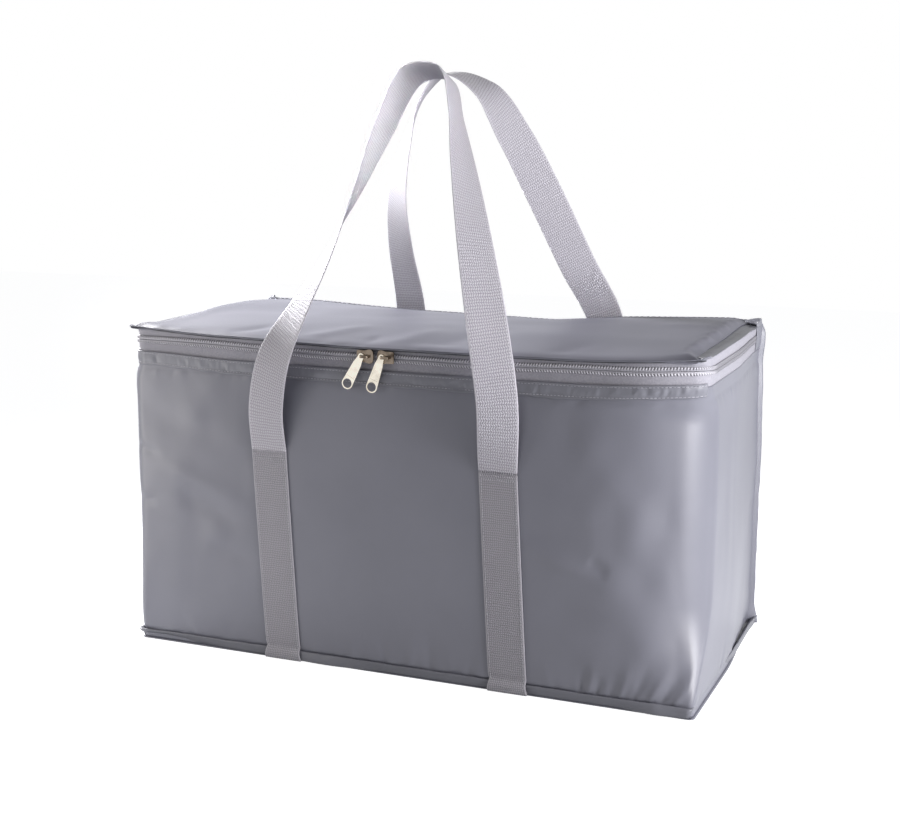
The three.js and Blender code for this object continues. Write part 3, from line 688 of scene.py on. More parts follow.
def bottom_flange():
    """The seam allowance that stands round the foot: it bows, waves and grows at the corners."""
    rows = []
    profile = [(0.3, 0.9), (0.9, 0.4), (1.5, 0.9), (2.1, 3.8), (2.6, 6.6), (3.0, 9.0), (2.7, 9.9),
               (1.8, 9.9), (0.3, 8.6)]
    for out, z in profile:
        points = ring(out, z, 0, out + 1.2, 2.5, count=3)
        x = points[:, 0]
        y = points[:, 1]
        corner = np.exp(-((np.abs(x) - HALF_W) ** 2 + (np.abs(y) - HALF_D) ** 2) / 14 ** 2)
        tip = out / 3.0
        grow = 1 + 0.008 * corner * tip
        wave = 0.7 * value_noise(x / 21 + 9, y / 21, 41) + 0.35 * value_noise(x / 8, y / 8 + 4, 42)
        points = points * np.stack([grow, 1 + 2 * (grow - 1), np.ones_like(grow)], 1)
        right = ease(x, 250, 290)
        points[:, 0] += right * (8.6 * ease(y, -60, 132) - 4.4)
        points[:, 1] += 5.0 * ease(-x, 170, 300) * ease(-y, 90, 130) * (1 - ease(z, 2, 10))
        bow = 4.0 * bump(x, -76, 60) + 3.5 * bump(x, 258, 36)
        points[:, 1] -= bow * ease(-y, 90, 130) * (1 - ease(z, 3, 10))
        points[:, 2] += wave * 1.1 * tip * (z > 5) + 0.3
        points[:, 1] += np.where(y < 0, -1, 1) * wave * 0.5 * tip * (np.abs(y) > 130)
        rows.append(points)
    rows = np.array(rows).transpose(1, 0, 2)
    rows = np.concatenate([rows, rows[:1]])
    # The flange takes the darker satin: painted shade under the bulge of the wall.
    obj = tube_rows("bottom_flange", rows, SHADED_FOLD_CLOTH, capped=False)
    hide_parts("bottom_seam_flange")
    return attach(obj, "bag_body")


def seam_strip(name, side, node):
    """A rear corner seam allowance: it stands out of the corner with a loose, wavy edge."""
    z = np.linspace(3, STRIP_TOP, 190)
    share = np.linspace(0, 1, 8)
    grid_share, grid_z = np.meshgrid(share, z)
    width = 7.6 + 0.8 * ease(grid_z, 60, 140) - 1.8 * ease(grid_z, 250, 285)
    width = width + 3.5 * (1 - ease(grid_z, 4, 26))
    wave = 1.2 * value_noise(grid_z / 33, 0, 51 + side) + 0.5 * value_noise(grid_z / 12, 0, 53)
    inset = 5.5 * ease(grid_z, 312, STRIP_TOP)
    x = side * (HALF_W - 2.0 - inset + grid_share * (width + 0.5 * wave))
    y = HALF_D - 5.2 + grid_share * 5.6 + 0.5 * wave * grid_share
    obj = cloth(name, skin(x, y, grid_z), 1.2, SHELL)
    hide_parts(node)
    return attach(obj, "bag_body")


def rear_binding():
    """The stitched roll along the top of the rear wall."""
    x = np.linspace(-HALF_W + 1, HALF_W - 1, 240)
    angle = np.linspace(0, 2 * math.pi, 12, endpoint=False)
    radius = 1.7 * (1 + 0.1 * np.sin(x * 1.6)) * (0.35 + 0.65 * ease(HALF_W - 1 - np.abs(x), -1, 5))
    y = HALF_D + radius[:, None] * np.cos(angle)
    z = (HEIGHT + rear_sag(x) - 1.6 * ease(x, 256, 272))[:, None] + radius[:, None] * np.sin(angle) * 1.1
    obj = tube_rows("rear_binding", skin(x[:, None], y, z), SHELL)
    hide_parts("rear_hinge_roll")
    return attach(obj, "bag_body")


def hinge_cloth():
    """The cloth of the rear seam: it joins the wall to the lid."""
    x = np.linspace(-HALF_W + 14, HALF_W - 26, 220)
    rows = [(139.6, -1.0), (138.9, -0.4), (138.2, -0.1), (137.5, 0), (136.8, 0), (136.2, 0)]
    y, lift = np.array(rows).T[:, :, None]
    obj = cloth("hinge_cloth", skin(x, y, HEIGHT + rear_sag(x) + lift), 0.5, SHELL)
    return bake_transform(obj)


# Zip, from one end tab round the front to the other

def tape_top(s):
    """The standing upper edge of the upper tape: under the lid in front, free along the sides."""
    side = ease(np.abs(s), CORNER_END - 6, CORNER_END + 16)
    x, y = plan(s, CORNER)[:2]
    front = TAPE_TOP_FRONT + np.clip(lid_rise(x, y), -4.2, 3.2)
    free = TAPE_TOP_SIDE + 0.9 * bump(y, 0, 110) - 2.4 * ease(y, 60, 125)
    return front * (1 - side) + free * side


def band_rise(s):
    a = np.abs(s)
    return 3.2 * ease(a, 170, 272) - 1.0 * (1 - ease(a, 60, 200))


def band_fold():
    """The folded band under the zip: a flat strip with a thick upper edge, puckered by its stitches."""
    s = np.linspace(-BAND_END_LEFT, BAND_END_RIGHT, 1300)
    low = 0.7 * value_noise(s / 13, 2, 63) + 0.5 * value_noise(s / 60, 1, 64)
    strong = 1 + 0.9 * ease(s, 195, 262)
    profile = [(0.2, 0.2), (0.6, 0.0), (0.9, 0.8), (0.5, 2.0), (0.8, 3.6), (0.9, 5.4), (0.95, 7.4),
               (0.9, 9.4), (0.7, 11.0), (0.6, 11.8), (1.5, 12.6), (1.2, 13.5), (0.25, 13.4)]
    outline = []
    for out, up in profile:
        puff = value_noise(s / 6.5 + 0.06 * up, up / 9, 61) + 0.6 * value_noise(s / 3.4, up / 6, 62)
        held = bump(up, 6.7, 5.2)
        level = BAND_TOP - BAND_HEIGHT + up + band_rise(s) + low * (1 - up / BAND_HEIGHT)
        outline.append((out + (0.1 + 0.45 * held) * strong * puff, level))
    obj = sweep("band_fold", s, outline, SHADED_BAND_CLOTH)
    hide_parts("top_band")
    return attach(obj, "bag_body")


def chain_sag(s):
    """How far the zip hangs below its drawn line in the middle and climbs towards the corners."""
    return through(s, [(-330, 0), (-296, 1.6), (-210, 1.8), (-72, -1.8), (18, -1.3), (110, -1.5),
                       (162, 0.2), (228, 1.3), (264, 2.1), (286, 1.6), (312, 0)])


def tape_lower():
    s = np.linspace(-ZIP_END, ZIP_END, 700)
    wave = 0.2 * value_noise(s / 9, 0, 65)
    sag = chain_sag(s)
    outline = [(TAPE_BACK, TAPE_BASE), (TAPE_FACE, TAPE_BASE), (-0.7 + wave, 299.5),
               (-0.6 + wave, 302.5 + 0.5 * sag), (TAPE_FACE, 306.5 + sag), (TAPE_FACE, 309.9 + sag),
               (TAPE_BACK, 309.9 + sag), (TAPE_BACK, 302.0 + 0.5 * sag)]
    obj = sweep("tape_lower", s, outline, TAPE)
    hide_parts("zip_tape_lower")
    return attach(obj, "bag_body")


def tape_upper():
    s = np.linspace(-ZIP_END, ZIP_END, 700)
    wave = 0.25 * value_noise(s / 13, 0, 66)
    top = tape_top(s)
    sag = chain_sag(s)
    middle = 0.5 * (315.6 + top)
    outline = [(TAPE_BACK, 311.1 + sag), (TAPE_FACE, 311.1 + sag), (TAPE_FACE, 315.0 + 0.8 * sag),
               (-0.5 + wave, middle), (-0.5 + wave, top - 0.6), (-0.7, top), (-1.4, top),
               (TAPE_BACK, middle)]
    obj = sweep("tape_upper", s, outline, TAPE)
    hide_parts("zip_tape_upper")
    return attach(obj, "lid")


def coil(name, node, body, levels):
    """One half of the coil: slanting ribs along its outer row, smooth where the halves meet."""
    outer_z, inner_z = levels
    end = ZIP_END - 6
    s = np.arange(-end, end, COIL_PITCH / 6)
    spots = np.linspace(0, 1, 9)
    z = outer_z + (inner_z - outer_z) * spots
    turn = 0.5 + 0.5 * np.cos(2 * math.pi * (s[:, None] / COIL_PITCH + COIL_LEAN * spots))
    beaded = (1 - ease(spots, 0.45, 0.75)) * ease(spots, -0.1, 0.12)
    height = np.array([0.1, 0.8, 1.35, 1.5, 1.35, 1.0, 0.8, 0.8, 0.5])
    along_side = ease(np.abs(s), CORNER_END, CORNER_END + 30)[:, None]
    out = height * (1 - 0.35 * along_side) + beaded * (turn ** 0.8 - 1)
    sag = chain_sag(s)
    outline = [(-0.55, outer_z + sag)] + [(out[:, i], z[i] + sag) for i in range(9)]
    outline.append((-0.55, inner_z + sag))
    obj = sweep(name, s, outline, COIL, chart=[0, *spots, 1])
    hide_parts(node)
    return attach(obj, body)


def end_tab(name, side, node):
    """Folded fabric that closes the gap behind the end of the zip and folds in over the corner."""
    along = side * np.linspace(ZIP_END - 4, S_END - 0.5, 24)
    rows = [(0.1 + 0.8 * math.sin(math.pi * (z - 298) / 22), z, 0) for z in np.linspace(298, 320, 16)]
    rows += [(-1.0, 320.9, 1), (-3.5, 321.0, 1), (-7.0, 320.6, 1), (-12.0, 319.6, 1),
             (-17.0, 318.2, 1), (-20.0, 317.0, 1)]
    shut = ease(np.abs(along), ZIP_END + 8, ZIP_END + 18)
    lines = []
    for out, z, folded in rows:
        crumple = 0.3 * value_noise(along / 5, z / 9 + out / 7, 67)
        outer = wall(along, out * (shut if folded else 1) + crumple, z)
        outer[..., 2] += (lid_rise(side * HALF_W, 126.0) + 2.6 * shut) * ease(z, 300, 320)
        lines.append(outer)
    obj = cloth(name, np.array(lines), 0.8, SHELL)
    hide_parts(node)
    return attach(obj, "bag_body")


# Liner

def liner_cup():
    """One sheet: over the top of the walls, down inside them and across the floor."""
    levels = [(-1.9, 303.0, 0.4, -5.9, 10), (-4.0, 303.1, 0.4, -6.0, 10), (-6.2, 302.6, 0.4, -6.2, 9)]
    levels += [(-6.4, z, 0.4, -6.4, 9) for z in np.linspace(299, 10, 60)]
    levels += [(-6.8, 7.6, 0.4, -6.8, 8), (-8.2, 6.5, 0.0, -8.2, 8)]
    rows = [ring(*level) for level in levels]
    edge = rows[-1]
    rows += [edge * [f, f, 1] for f in (0.93, 0.86, 0.78, 0.7, 0.6, 0.5, 0.4, 0.3, 0.2, 0.1, 0.01)]
    points = np.array(rows)
    x, y, z = np.moveaxis(points, -1, 0)
    crinkle = value_noise((x + y) / 17, (z + x - y) / 19, 71)
    crinkle = crinkle + 0.5 * value_noise((x - y) / 8, (z + y) / 9, 72)
    inward = np.array([0, 0, 150.0]) - points
    inward[..., 2] *= 0.3
    inward /= np.linalg.norm(inward, axis=2, keepdims=True)
    fade = ease(302 - z, 0, 12)
    points = points + inward * (0.9 * np.clip(crinkle + 0.8, 0, None) * fade)[..., None]
    climb = ease(y, HALF_D - 16, HALF_D - 8) * ease(z, 296, 303)
    points[..., 2] += 13.2 * climb + 0.4 * rear_sag(x) * climb
    obj = cloth("liner_cup", np.concatenate([points, points[:, :1]], 1), LINING, FOIL)
    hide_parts("liner_body")
    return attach(obj, "bag_body")


# Lid

def lid_reach(x, y):
    """Half the width of the padded top, which pulls in along the sides."""
    left = 293.0 - 11.0 * ease(y, -142, -106)
    right = 286.5 - 10.0 * ease(y, -143, -104)
    return np.where(x < 0, left, right)


def square_to_round(x, y, half_x, half_y, radius):
    cx = half_x - radius
    cy = half_y - radius
    dx = np.clip(np.abs(x) - cx, 0, None) / radius
    dy = np.clip(np.abs(y) - cy, 0, None) / radius
    longest = np.maximum(dx, dy)
    length = np.hypot(dx, dy)
    scale = np.where(length > 0, longest / np.maximum(length, 1e-9), 1)
    inside = (dx > 0) & (dy > 0)
    x = np.where(inside, np.sign(x) * (cx + dx * scale * radius), x)
    y = np.where(inside, np.sign(y) * (cy + dy * scale * radius), y)
    return x, y


# Creases of the lid: start, end, width and height
LID_CREASES = [
    ((-96, -128), (-60, -60), 12, 1.3), ((-6, -138), (14, -60), 14, 1.5),
    ((34, -136), (78, -20), 15, -1.2),
    ((-30, -140), (-34, -100), 6, -1.0), ((-178, -140), (-150, -90), 9, -1.3),
    ((150, -140), (175, -80), 12, -1.0), ((280, 20), (200, 40), 16, 1.2),
]


def lid_folds(x, y):
    total = 0.8 * value_noise(x / 100 + 2, y / 60 + 5, 81) + 0.3 * value_noise(x / 35, y / 30, 82)
    for crease in LID_CREASES:
        total += ridge(x, y, *crease)
    return total


def lid_crown(x, y):
    return LID_CROWN * np.clip(1 - (x / HALF_W) ** 2, 0, 1) * np.clip(1 - (y / HALF_D) ** 2, 0, 1)


def towards_edges(count):
    """Places from -1 to 1 that lie closer together near both ends."""
    return np.sin(np.linspace(-1, 1, count) * math.pi / 2 * 0.93) / math.sin(math.pi / 2 * 0.93)


def lid_pad():
    """The padded top: its crown, its ruffled rim and the foam under it."""
    half = HALF_W + 3.0
    grid_u, grid_v = np.meshgrid(towards_edges(190), towards_edges(110))
    mid_y = (-HALF_D - 3.0 + PAD_REAR) / 2
    half_y = PAD_REAR - mid_y
    x0, y0 = square_to_round(grid_u * half, grid_v * half_y, half, half_y, 7)
    y = y0 + mid_y
    reach = lid_reach(x0, y)
    x = x0 * reach / half
    edge = np.minimum(half - np.abs(x0), half_y - np.abs(y0))
    crown = lid_crown(x, y)
    fade = ease(edge, 2, 26)
    ruffle = pockets(x, y, -HALF_D - 3, 83, 20, 11, 0.8, 1) * ease(edge, 0.5, 5)
    around_rim = ease(np.abs(x0), half - 40, half)
    rim = ease(edge, 0.5, 5) * (1 - ease(edge, 8, 20))
    ruffle = ruffle + around_rim * 0.9 * value_noise(x / 9, y / 13, 84) * rim
    flat_rear = 1 - 0.8 * ease(y, 50, 137)
    puff = 2.6 * (1 - np.exp(-np.clip(edge, 0, None) / (5 + 2 * around_rim)))
    puff = puff * (1 + 0.5 * around_rim) * flat_rear
    drop = -4.2 * around_rim * (1 - ease(edge, -2, 13))
    top = PAD_RIM + drop + lid_rise(x, y) + crown + puff + lid_folds(x, y) * fade + ruffle
    under = np.minimum(PAD_UNDER + lid_rise(x, y) + crown, top - 0.8)
    inner = skin(x * (reach - 7.0) / reach, np.clip(y, -HALF_D + 3.9, PAD_REAR - 0.3), under)
    obj = cloth("lid_pad", skin(x, y, top), 0, LID_CLOTH, inner=inner)
    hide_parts("lid_panel", "lid_foam")
    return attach(obj, "lid")


def lid_lining():
    x = np.linspace(-HALF_W + 13, HALF_W - 13, 120)
    y = np.linspace(-HALF_D + 4.6, 137.4, 70)
    grid_x, grid_y = np.meshgrid(x, y)
    crinkle = value_noise(grid_x / 15, grid_y / 15, 73) + 0.5 * value_noise(grid_x / 7, grid_y / 7, 74)
    z = LINING_TOP + lid_crown(grid_x, grid_y) + lid_rise(grid_x, grid_y)
    z = z - 0.5 * np.clip(crinkle + 0.8, 0, None)
    obj = cloth("lid_lining", skin(grid_x, grid_y, z), LINING, FOIL)
    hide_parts("lid_liner")
    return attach(obj, "lid")


def lid_flange():
    """The seam allowance round the lid: a lip along the front, a sunken strip along the sides."""
    s = np.linspace(-S_END + 1.5, S_END - 1.5, 1500)
    path = plan(s, LID_CORNER)
    x, y = path[:2]
    side = ease(np.abs(s), CORNER_END - 4, CORNER_END + 26)
    ear = np.exp(-((np.abs(s) - STRAIGHT - ARC / 2) / 12) ** 2)
    tip = np.where(s < 0, 0.2, 3.4) * ear
    ruffle = 0.5 * value_noise(s / 9, 0, 85) + 0.4 * value_noise(s / 27, 3, 86)
    rise = lid_rise(x, y)
    under_pad = lid_reach(s, y) - HALF_W - 7.0
    base = STRIP_BASE + rise
    edge = tape_top(s) + 0.2
    rings = []
    for t, thick in ((0, 0), (0.3, 0), (0.65, 0), (1, 0), (1.04, 0.5), (1, 1), (0.65, 1), (0.3, 1),
                     (0, 1)):
        out = (TAPE_BACK + t * (4.0 + 2.6 * ear)) * (1 - side)
        out = out + (under_pad + t * (0.4 - under_pad)) * side
        front_z = LIP + rise + tip * t - 1.6 * (1 - ease(t, 0, 0.4)) + 0.7 * ruffle * t
        side_z = base + (edge - base) * t - 6.5 * t * (1 - t) + 0.5 * ruffle * 4 * t * (1 - t)
        rings.append(beside(path, out, front_z * (1 - side) + side_z * side + 0.9 * thick))
    rings = np.array(rings).transpose(1, 0, 2)
    obj = tube_rows("lid_flange", rings, SHELL)
    # The middle of each sunken side strip takes the darker satin: painted shade in the recess.
    obj.data.materials.append(SHADED_FOLD_CLOTH)
    for row in np.flatnonzero(side[:-1] > 0.5):
        for column in (5, 6, 7):
            obj.data.polygons[int(row) * len(rings[0]) + column].material_index = 1
    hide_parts("lid_seam_flange")
    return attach(obj, "lid")


def lid_seam_line():
    """A dark tube painted as the shadow in the gap between the lip of the lid and the zip tape along the
    front.
    """
    s = np.linspace(-STRAIGHT - ARC * 0.7, STRAIGHT + ARC * 0.5, 700)
    path = plan(s, LID_CORNER)
    level = LIP_SHADOW_LEVEL + lid_rise(*path[:2])
    rings = []
    for angle in np.linspace(0, 2 * math.pi, 6, endpoint=False):
        rings.append(beside(path, 1.0 + 0.4 * math.cos(angle), level + 0.45 * math.sin(angle)))
    obj = tube_rows("lid_seam_line", np.array(rings).transpose(1, 0, 2), SEAM_SHADE)
    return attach(obj, "lid")


# Webbing. Each row is the middle of the loop in shares of half the strap spacing (x), of half the
# depth (y) and of the handle's rise above the stitching, then the compass turn and the climb of the
# direction across it, in degrees. The CAD source has the same rows.

FRONT_LOOP = [
    (-0.983, -1.079, 0.122, -4, 0), (-0.874, -1.129, 0.255, -11, 0), (-0.664, -1.1, 0.388, -32, 0),
    (-0.496, -0.936, 0.529, -50, 5), (-0.361, -0.707, 0.693, -72, 16), (-0.261, -0.457, 0.853, -92, 26),
    (-0.126, -0.214, 0.992, -100, 24), (0.168, -0.229, 0.994, -94, 24), (0.345, -0.393, 0.889, -95, 28),
    (0.546, -0.664, 0.748, -112, 18), (0.756, -0.921, 0.571, -130, 8), (0.941, -1.1, 0.371, -148, -2),
    (1.034, -1.129, 0.188, -162, -8),
]
REAR_LOOP = [
    (-0.958, 1.093, 0.139, -2, 0), (-1.0, 1.121, 0.31, -8, -2), (-1.017, 0.971, 0.493, -20, -8),
    (-0.916, 0.743, 0.651, -38, -12), (-0.664, 0.471, 0.817, -58, -14), (-0.395, 0.264, 0.942, -76, -8),
    (-0.126, 0.171, 1.0, -90, -4), (0.16, 0.243, 0.953, -108, -6), (0.345, 0.443, 0.828, -128, -8),
    (0.529, 0.707, 0.651, -145, -8), (0.731, 0.957, 0.454, -158, -6), (0.933, 1.114, 0.294, -168, -4),
    (1.0, 1.107, 0.139, -176, 0),
]


def heading(turn, climb):
    t = math.radians(turn)
    c = math.radians(climb)
    return np.array([math.cos(t) * math.cos(c), math.sin(t) * math.cos(c), math.sin(c)])


def spline(points, t, even):
    """A Catmull-Rom curve through the points; even gives every stretch the same weight."""
    points = np.asarray(points, float)
    spot = t * (len(points) - 1)
    i = min(int(spot), len(points) - 2)
    w = spot - i
    p1, p2 = points[i], points[i + 1]
    p0 = points[i - 1] if i > 0 else 2 * p1 - p2
    p3 = points[i + 2] if i + 2 < len(points) else 2 * p2 - p1
    if even:
        a = (p2 - p0) / 2
        b = (p3 - p1) / 2
    else:
        d0, d1, d2 = (max(np.sum((q - p) ** 2) ** 0.25, 1e-4)
                      for p, q in ((p0, p1), (p1, p2), (p2, p3)))
        a = ((p1 - p0) / d0 - (p2 - p0) / (d0 + d1) + (p2 - p1) / d1) * d1
        b = ((p2 - p1) / d1 - (p3 - p1) / (d1 + d2) + (p3 - p2) / d2) * d1
    w2 = w * w
    w3 = w2 * w
    return (p1 * (1 - 3 * w2 + 2 * w3) + a * (w - 2 * w2 + w3) + p2 * (3 * w2 - 2 * w3) + b * (w3 - w2))


def loop_path(rows, feet, wall_side):
    middle = sum(feet) / 2
    foot_y = wall_side * (HALF_D + 1.0)
    points = [(feet[0], foot_y, STITCH_TOP + 0.15)]
    points += [(middle + HALF_SPACING * r[0], HALF_D * r[1], STITCH_TOP + HANDLE_RISE * r[2])
               for r in rows]
    points += [(feet[1], foot_y, STITCH_TOP + 0.15)]
    turns = [heading(0, 0)] + [heading(r[3], r[4]) for r in rows] + [heading(180, 0)]
    path = []
    steps = 300
    for i in range(steps + 1):
        t = i / steps
        along = spline(points, min(t + 0.0005, 1), False) - spline(points, max(t - 0.0005, 0), False)
        if i in (0, steps):
            along = np.array([0, 0, 1.0 if i == 0 else -1.0])
        along = along / np.linalg.norm(along)
        across = spline(turns, t, True)
        across = across - along * np.dot(across, along)
        across = across / np.linalg.norm(across)
        path.append((spline(points, t, False), across, np.cross(along, across)))
    return path


def strap_x(end, wall_side, z):
    if wall_side > 0:
        return REAR_FEET[end]
    foot = FRONT_FLOOR[end]
    return foot + (FRONT_FEET[end] - foot) * z / STITCH_TOP


def strap_out(end, wall_side, z):
    """Distance of the middle of the sewn webbing from the wall's flat face."""
    out = 1.0 + 3.8 * (1 - ease(z, 8.5, 12.5)) + 0.9 * bump(z, 5.5, 4.5) - 0.5 * bump(z, 13.5, 3)
    if wall_side < 0:
        return out + pillow(strap_x(end, wall_side, z), z)
    return out + 0.9 * rear_swell(REAR_FEET[end], z, HALF_W - 8.5)


def sewn_path(end, wall_side):
    path = []
    for z in np.linspace(0.4, STITCH_TOP, 90, endpoint=False):
        y = wall_side * (HALF_D + strap_out(end, wall_side, z))
        point = np.array([strap_x(end, wall_side, z), y, z])
        path.append((point, np.array([1.0, 0, 0]), np.array([0, 1.0, 0])))
    return path


def webbing(name, rows, feet, wall_side, nodes):
    """Both sewn straps of one wall and the handle between them, as one length of webbing."""
    loop = loop_path(rows, feet, wall_side)
    lift = wall_side * (strap_out(0, wall_side, STITCH_TOP) - 1.0)
    eased = []
    for point, across, face in loop:
        share = 1 - float(ease(point[2], STITCH_TOP, STITCH_TOP + 70))
        eased.append((point + np.array([0, lift * share, 0]), across, face))
    left = sewn_path(0, wall_side)
    right = sewn_path(1, wall_side)
    right = [(p, -a, -f) for p, a, f in reversed(right)]
    path = left + eased + right
    columns = np.concatenate([[-1, -0.985], np.linspace(-0.94, 0.94, 11), [0.985, 1]])
    half = np.concatenate([[0.25, 0.8], np.full(11, 1.0), [0.8, 0.25]]) * WEB_THICKNESS / 2
    rings = []
    uv = []
    length = 0.0
    last = path[0][0]
    for point, across, face in path:
        length += np.linalg.norm(point - last)
        last = point
        flare = 1 + 0.05 * (1 - ease(point[2], 2, 8)) - 0.035 * bump(point[2], 11.5, 4)
        spots = point + across * (columns * flare * WEB_WIDTH / 2)[:, None]
        front = spots + face * half[:, None]
        back = spots - face * half[:, None]
        rings.append(np.concatenate([front, back[::-1]]))
        u = np.concatenate([columns, columns[::-1]]) * WEB_WIDTH / 2
        uv.append(np.stack([u, np.full(len(u), length)], 1))
    obj = tube_rows(name, np.array(rings), WEB, uv=np.array(uv).reshape(-1, 2))
    # Below the stitching the webbing takes its darker copy: painted shade on the sewn straps.
    obj.data.materials.append(WEB_SEWN_SHADED)
    for polygon in obj.data.polygons:
        heights = [obj.data.vertices[v].co.z for v in polygon.vertices]
        if sum(heights) / len(heights) < (STITCH_TOP - 1) * MM:
            polygon.material_index = 1
    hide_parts(*nodes)
    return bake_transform(obj)


def capsule_mesh(work, start, end, radius):
    """A short stitch lying from start to end."""
    axis = end - start
    length = np.linalg.norm(axis)
    axis = axis / length
    helper = np.array([0, 0, 1.0]) if abs(axis[2]) < 0.8 else np.array([1.0, 0, 0])
    side = np.cross(axis, helper)
    side /= np.linalg.norm(side)
    up = np.cross(axis, side)
    rows = []
    for t, r in [(0, 0.35), (0.15, 0.9), (0.5, 1.0), (0.85, 0.9), (1, 0.35)]:
        centre = start + axis * length * t
        spokes = [side * math.cos(a) + up * math.sin(a) for a in (0, 1.2566, 2.5133, 3.7699, 5.0265)]
        rows.append([work.verts.new(tuple((centre + spoke * radius * r) * MM)) for spoke in spokes])
    for a, b in zip(rows, rows[1:]):
        for j in range(5):
            k = (j + 1) % 5
            work.faces.new((a[j], a[k], b[k], b[j]))
    work.faces.new(rows[0][::-1])
    work.faces.new(rows[-1])


def stitching(name, stitches):
    """Short stitches, each with its start, end and radius, as one piece."""
    work = bmesh.new()
    for start, end, radius in stitches:
        capsule_mesh(work, start, end, radius)
    obj = outward(work_object(name, work, THREAD, smooth=True))
    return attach(obj, "bag_body")


def strap_stitching():
    """A row along each edge of the four sewn straps, and three slanting rows across their tops."""
    stitches = []
    for wall_side, end in ((-1, 0), (-1, 1), (1, 0), (1, 1)):
        def spot(u, z):
            out = strap_out(end, wall_side, z) + WEB_THICKNESS / 2 + 0.05
            return np.array([strap_x(end, wall_side, z) + u, wall_side * (HALF_D + out), z])
        for edge in (-16.6, 16.6):
            stitches += [(spot(edge, z), spot(edge, z + 2.3), 0.26) for z in np.arange(12, 203, 3.1)]
        for level, lean in ((204.0, 0.9), (207.5, -0.9), (211.0, 0.9)):
            for u in np.arange(-16.5, 15.5, 2.2):
                stitches.append((spot(u, level - 1.2), spot(u + lean, level + 1.2), 0.3))
    return stitching("strap_stitching", stitches)


def band_stitching():
    """Two rows of stitches that hold the band."""
    stitches = []
    for level, out in ((BAND_TOP - BAND_HEIGHT + 2.0, 0.85), (BAND_TOP - 1.9, 1.0)):
        for s in np.arange(-BAND_END_LEFT + 3, BAND_END_RIGHT - 3, 3.3):
            z = level + float(band_rise(s))
            stitches.append((wall(s, out, z), wall(s + 2.3, out, z), 0.24))
    return stitching("band_stitching", stitches)


def dress_metal():
    """The sliders and pulls keep their CAD shape and get a worn edge and plated finish."""
    for name, material in (("zip_slider_left", NICKEL_DARK), ("zip_slider_right", NICKEL_DARK),
                           ("pull_tab_left", NICKEL), ("pull_tab_right", NICKEL)):
        obj = bpy.data.objects[name]
        if not obj.material_slots:
            obj.data.materials.append(material)
        for slot in obj.material_slots:
            slot.material = material
        bevel = obj.modifiers.new("soft_edges", "BEVEL")
        bevel.width = 0.00035
        bevel.segments = 3
        bevel.limit_method = "ANGLE"
        bevel.angle_limit = math.radians(35)


# Camera, light and floor

def camera():
    yaw = math.radians(CAMERA_YAW)
    pitch = math.radians(CAMERA_PITCH)
    level = math.cos(pitch)
    forward = Vector((math.sin(yaw) * level, math.cos(yaw) * level, -math.sin(pitch)))
    right = Vector((math.cos(yaw), -math.sin(yaw), 0))
    up = right.cross(forward)
    data = bpy.data.cameras.new("photo_camera")
    data.sensor_width = 36
    data.lens = CAMERA_LENS
    data.clip_start = 0.05
    data.clip_end = 30
    obj = put("photo_camera", data)
    turn = Matrix((right, up, -forward)).transposed().to_4x4()
    obj.matrix_world = Matrix.Translation(Vector(CAMERA_PLACE)) @ turn
    bpy.context.scene.camera = obj


# Lamps: name, place, target, width and height, watts, colour and spread in degrees
LAMPS = [
    ("side_softbox", (1.02, -0.24, 0.35), (0.27, -0.06, 0.2), (0.4, 0.45), 12.0, (0.98, 0.98, 1), 180),
    ("right_softbox", (1.3, -0.64, 0.5), (0.27, -0.1, 0.17), (0.5, 0.8), 5.7, (1, 0.94, 0.88), 180),
    ("left_softbox", (-0.6, -0.42, 0.25), (-0.25, -0.14, 0.2), (0.3, 0.5), 2.3, (1, 0.97, 0.93), 180),
    ("top_softbox", (-1.1, 0.42, 0.86), (-0.2, -0.02, 0.31), (0.4, 0.4), 9.8, (0.99, 0.98, 1), 75),
    ("rear_softbox", (-0.5, 0.9, 0.7), (-0.15, 0, 0.33), (0.6, 0.4), 0.7, (0.96, 0.98, 1), 180),
    ("handle_softbox", (0.5, -1.0, 0.8), (-0.15, -0.04, 0.53), (0.15, 0.15), 0.36, (1, 1, 1), 12),
    ("handle_left_softbox", (-0.7, -0.7, 0.75), (-0.1, 0, 0.47), (0.2, 0.2), 0.08, (1, 1, 1), 18),
]


def softbox(name, place, target, size, power, colour, spread):
    data = bpy.data.lights.new(name, "AREA")
    data.shape = "RECTANGLE"
    data.size, data.size_y = size
    data.energy = power
    data.color = colour
    data.spread = math.radians(spread)
    obj = put(name, data)
    aim = (Vector(target) - Vector(place)).to_track_quat("-Z", "Y")
    obj.matrix_world = Matrix.Translation(Vector(place)) @ aim.to_matrix().to_4x4()
    obj.visible_camera = False


def seen_white(nodes):
    """1 for rays from the camera, in reflections and through glass, which see a white studio."""
    rays = nodes.tree.nodes.new("ShaderNodeLightPath").outputs
    seen = nodes.maths("MAXIMUM", rays["Is Camera Ray"], rays["Is Glossy Ray"])
    return nodes.maths("MAXIMUM", seen, rays["Is Transmission Ray"])


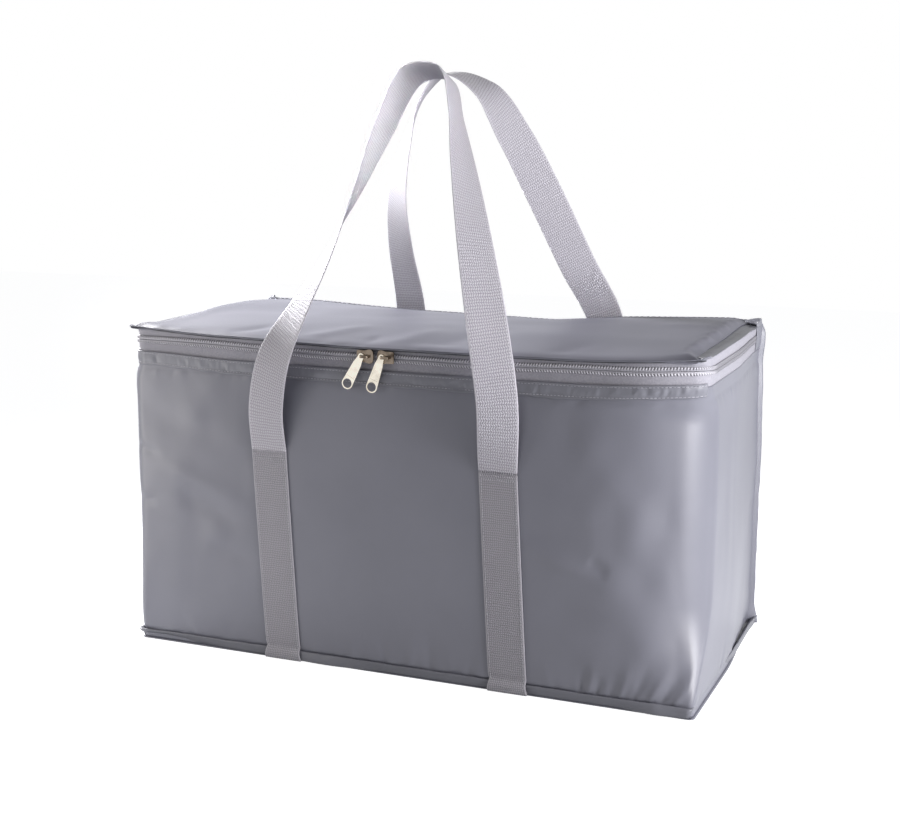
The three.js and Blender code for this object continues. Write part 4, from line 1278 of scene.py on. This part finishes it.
def world():
    scene = bpy.context.scene
    scene.view_settings.view_transform = "Standard"
    scene.world = bpy.data.worlds.new("studio")
    scene.world.use_nodes = True
    nodes = Nodes(scene.world.node_tree)
    nodes.tree.nodes.clear()
    room = nodes.add("ShaderNodeBackground", {0: (0.93, 0.95, 1.0, 1), 1: ROOM_LIGHT})
    white = nodes.add("ShaderNodeBackground", {0: (1, 1, 1, 1), 1: 1.0})
    mix = nodes.add("ShaderNodeMixShader", {0: seen_white(nodes), 1: room, 2: white})
    nodes.add("ShaderNodeOutputWorld", {0: mix})


def floor():
    """Paper that glows white where it is seen and still takes the bag's shadow."""
    work = bmesh.new()
    bmesh.ops.create_grid(work, x_segments=4, y_segments=4, size=3.0)
    material, nodes = new_material("studio_paper")
    nodes.tree.nodes.clear()
    paper = nodes.add("ShaderNodeBsdfDiffuse", {0: (0.55, 0.56, 0.58, 1)})
    glow = nodes.add("ShaderNodeEmission", {0: (1, 1, 1, 1), 1: FLOOR_GLOW})
    lit = nodes.add("ShaderNodeAddShader", {0: glow, 1: paper})
    mix = nodes.add("ShaderNodeMixShader", {0: seen_white(nodes), 1: paper, 2: lit})
    nodes.add("ShaderNodeOutputMaterial", {0: mix})
    obj = work_object("studio_floor", work, material, smooth=False)
    obj.location = (0, 0, -0.001)


def build():
    camera()
    world()
    floor()
    for lamp in LAMPS:
        softbox(*lamp)
    body_wall()
    rear_wall()
    floor_pad()
    bottom_flange()
    seam_strip("rear_seam_left", -1, "rear_seam_edge_left")
    seam_strip("rear_seam_right", 1, "rear_seam_edge_right")
    rear_binding()
    hinge_cloth()
    band_fold()
    band_stitching()
    tape_lower()
    tape_upper()
    coil("coil_lower", "zip_coil_lower", "bag_body", COIL_LOWER)
    coil("coil_upper", "zip_coil_upper", "lid", COIL_UPPER)
    end_tab("end_tab_left", -1, "zip_end_tab_left")
    end_tab("end_tab_right", 1, "zip_end_tab_right")
    liner_cup()
    lid_pad()
    lid_lining()
    lid_flange()
    lid_seam_line()
    webbing("front_webbing", FRONT_LOOP, FRONT_FEET, -1,
            ("front_strap_left", "front_strap_right", "front_handle"))
    webbing("rear_webbing", REAR_LOOP, REAR_FEET, 1,
            ("rear_strap_left", "rear_strap_right", "rear_handle"))
    strap_stitching()
    dress_metal()


build()
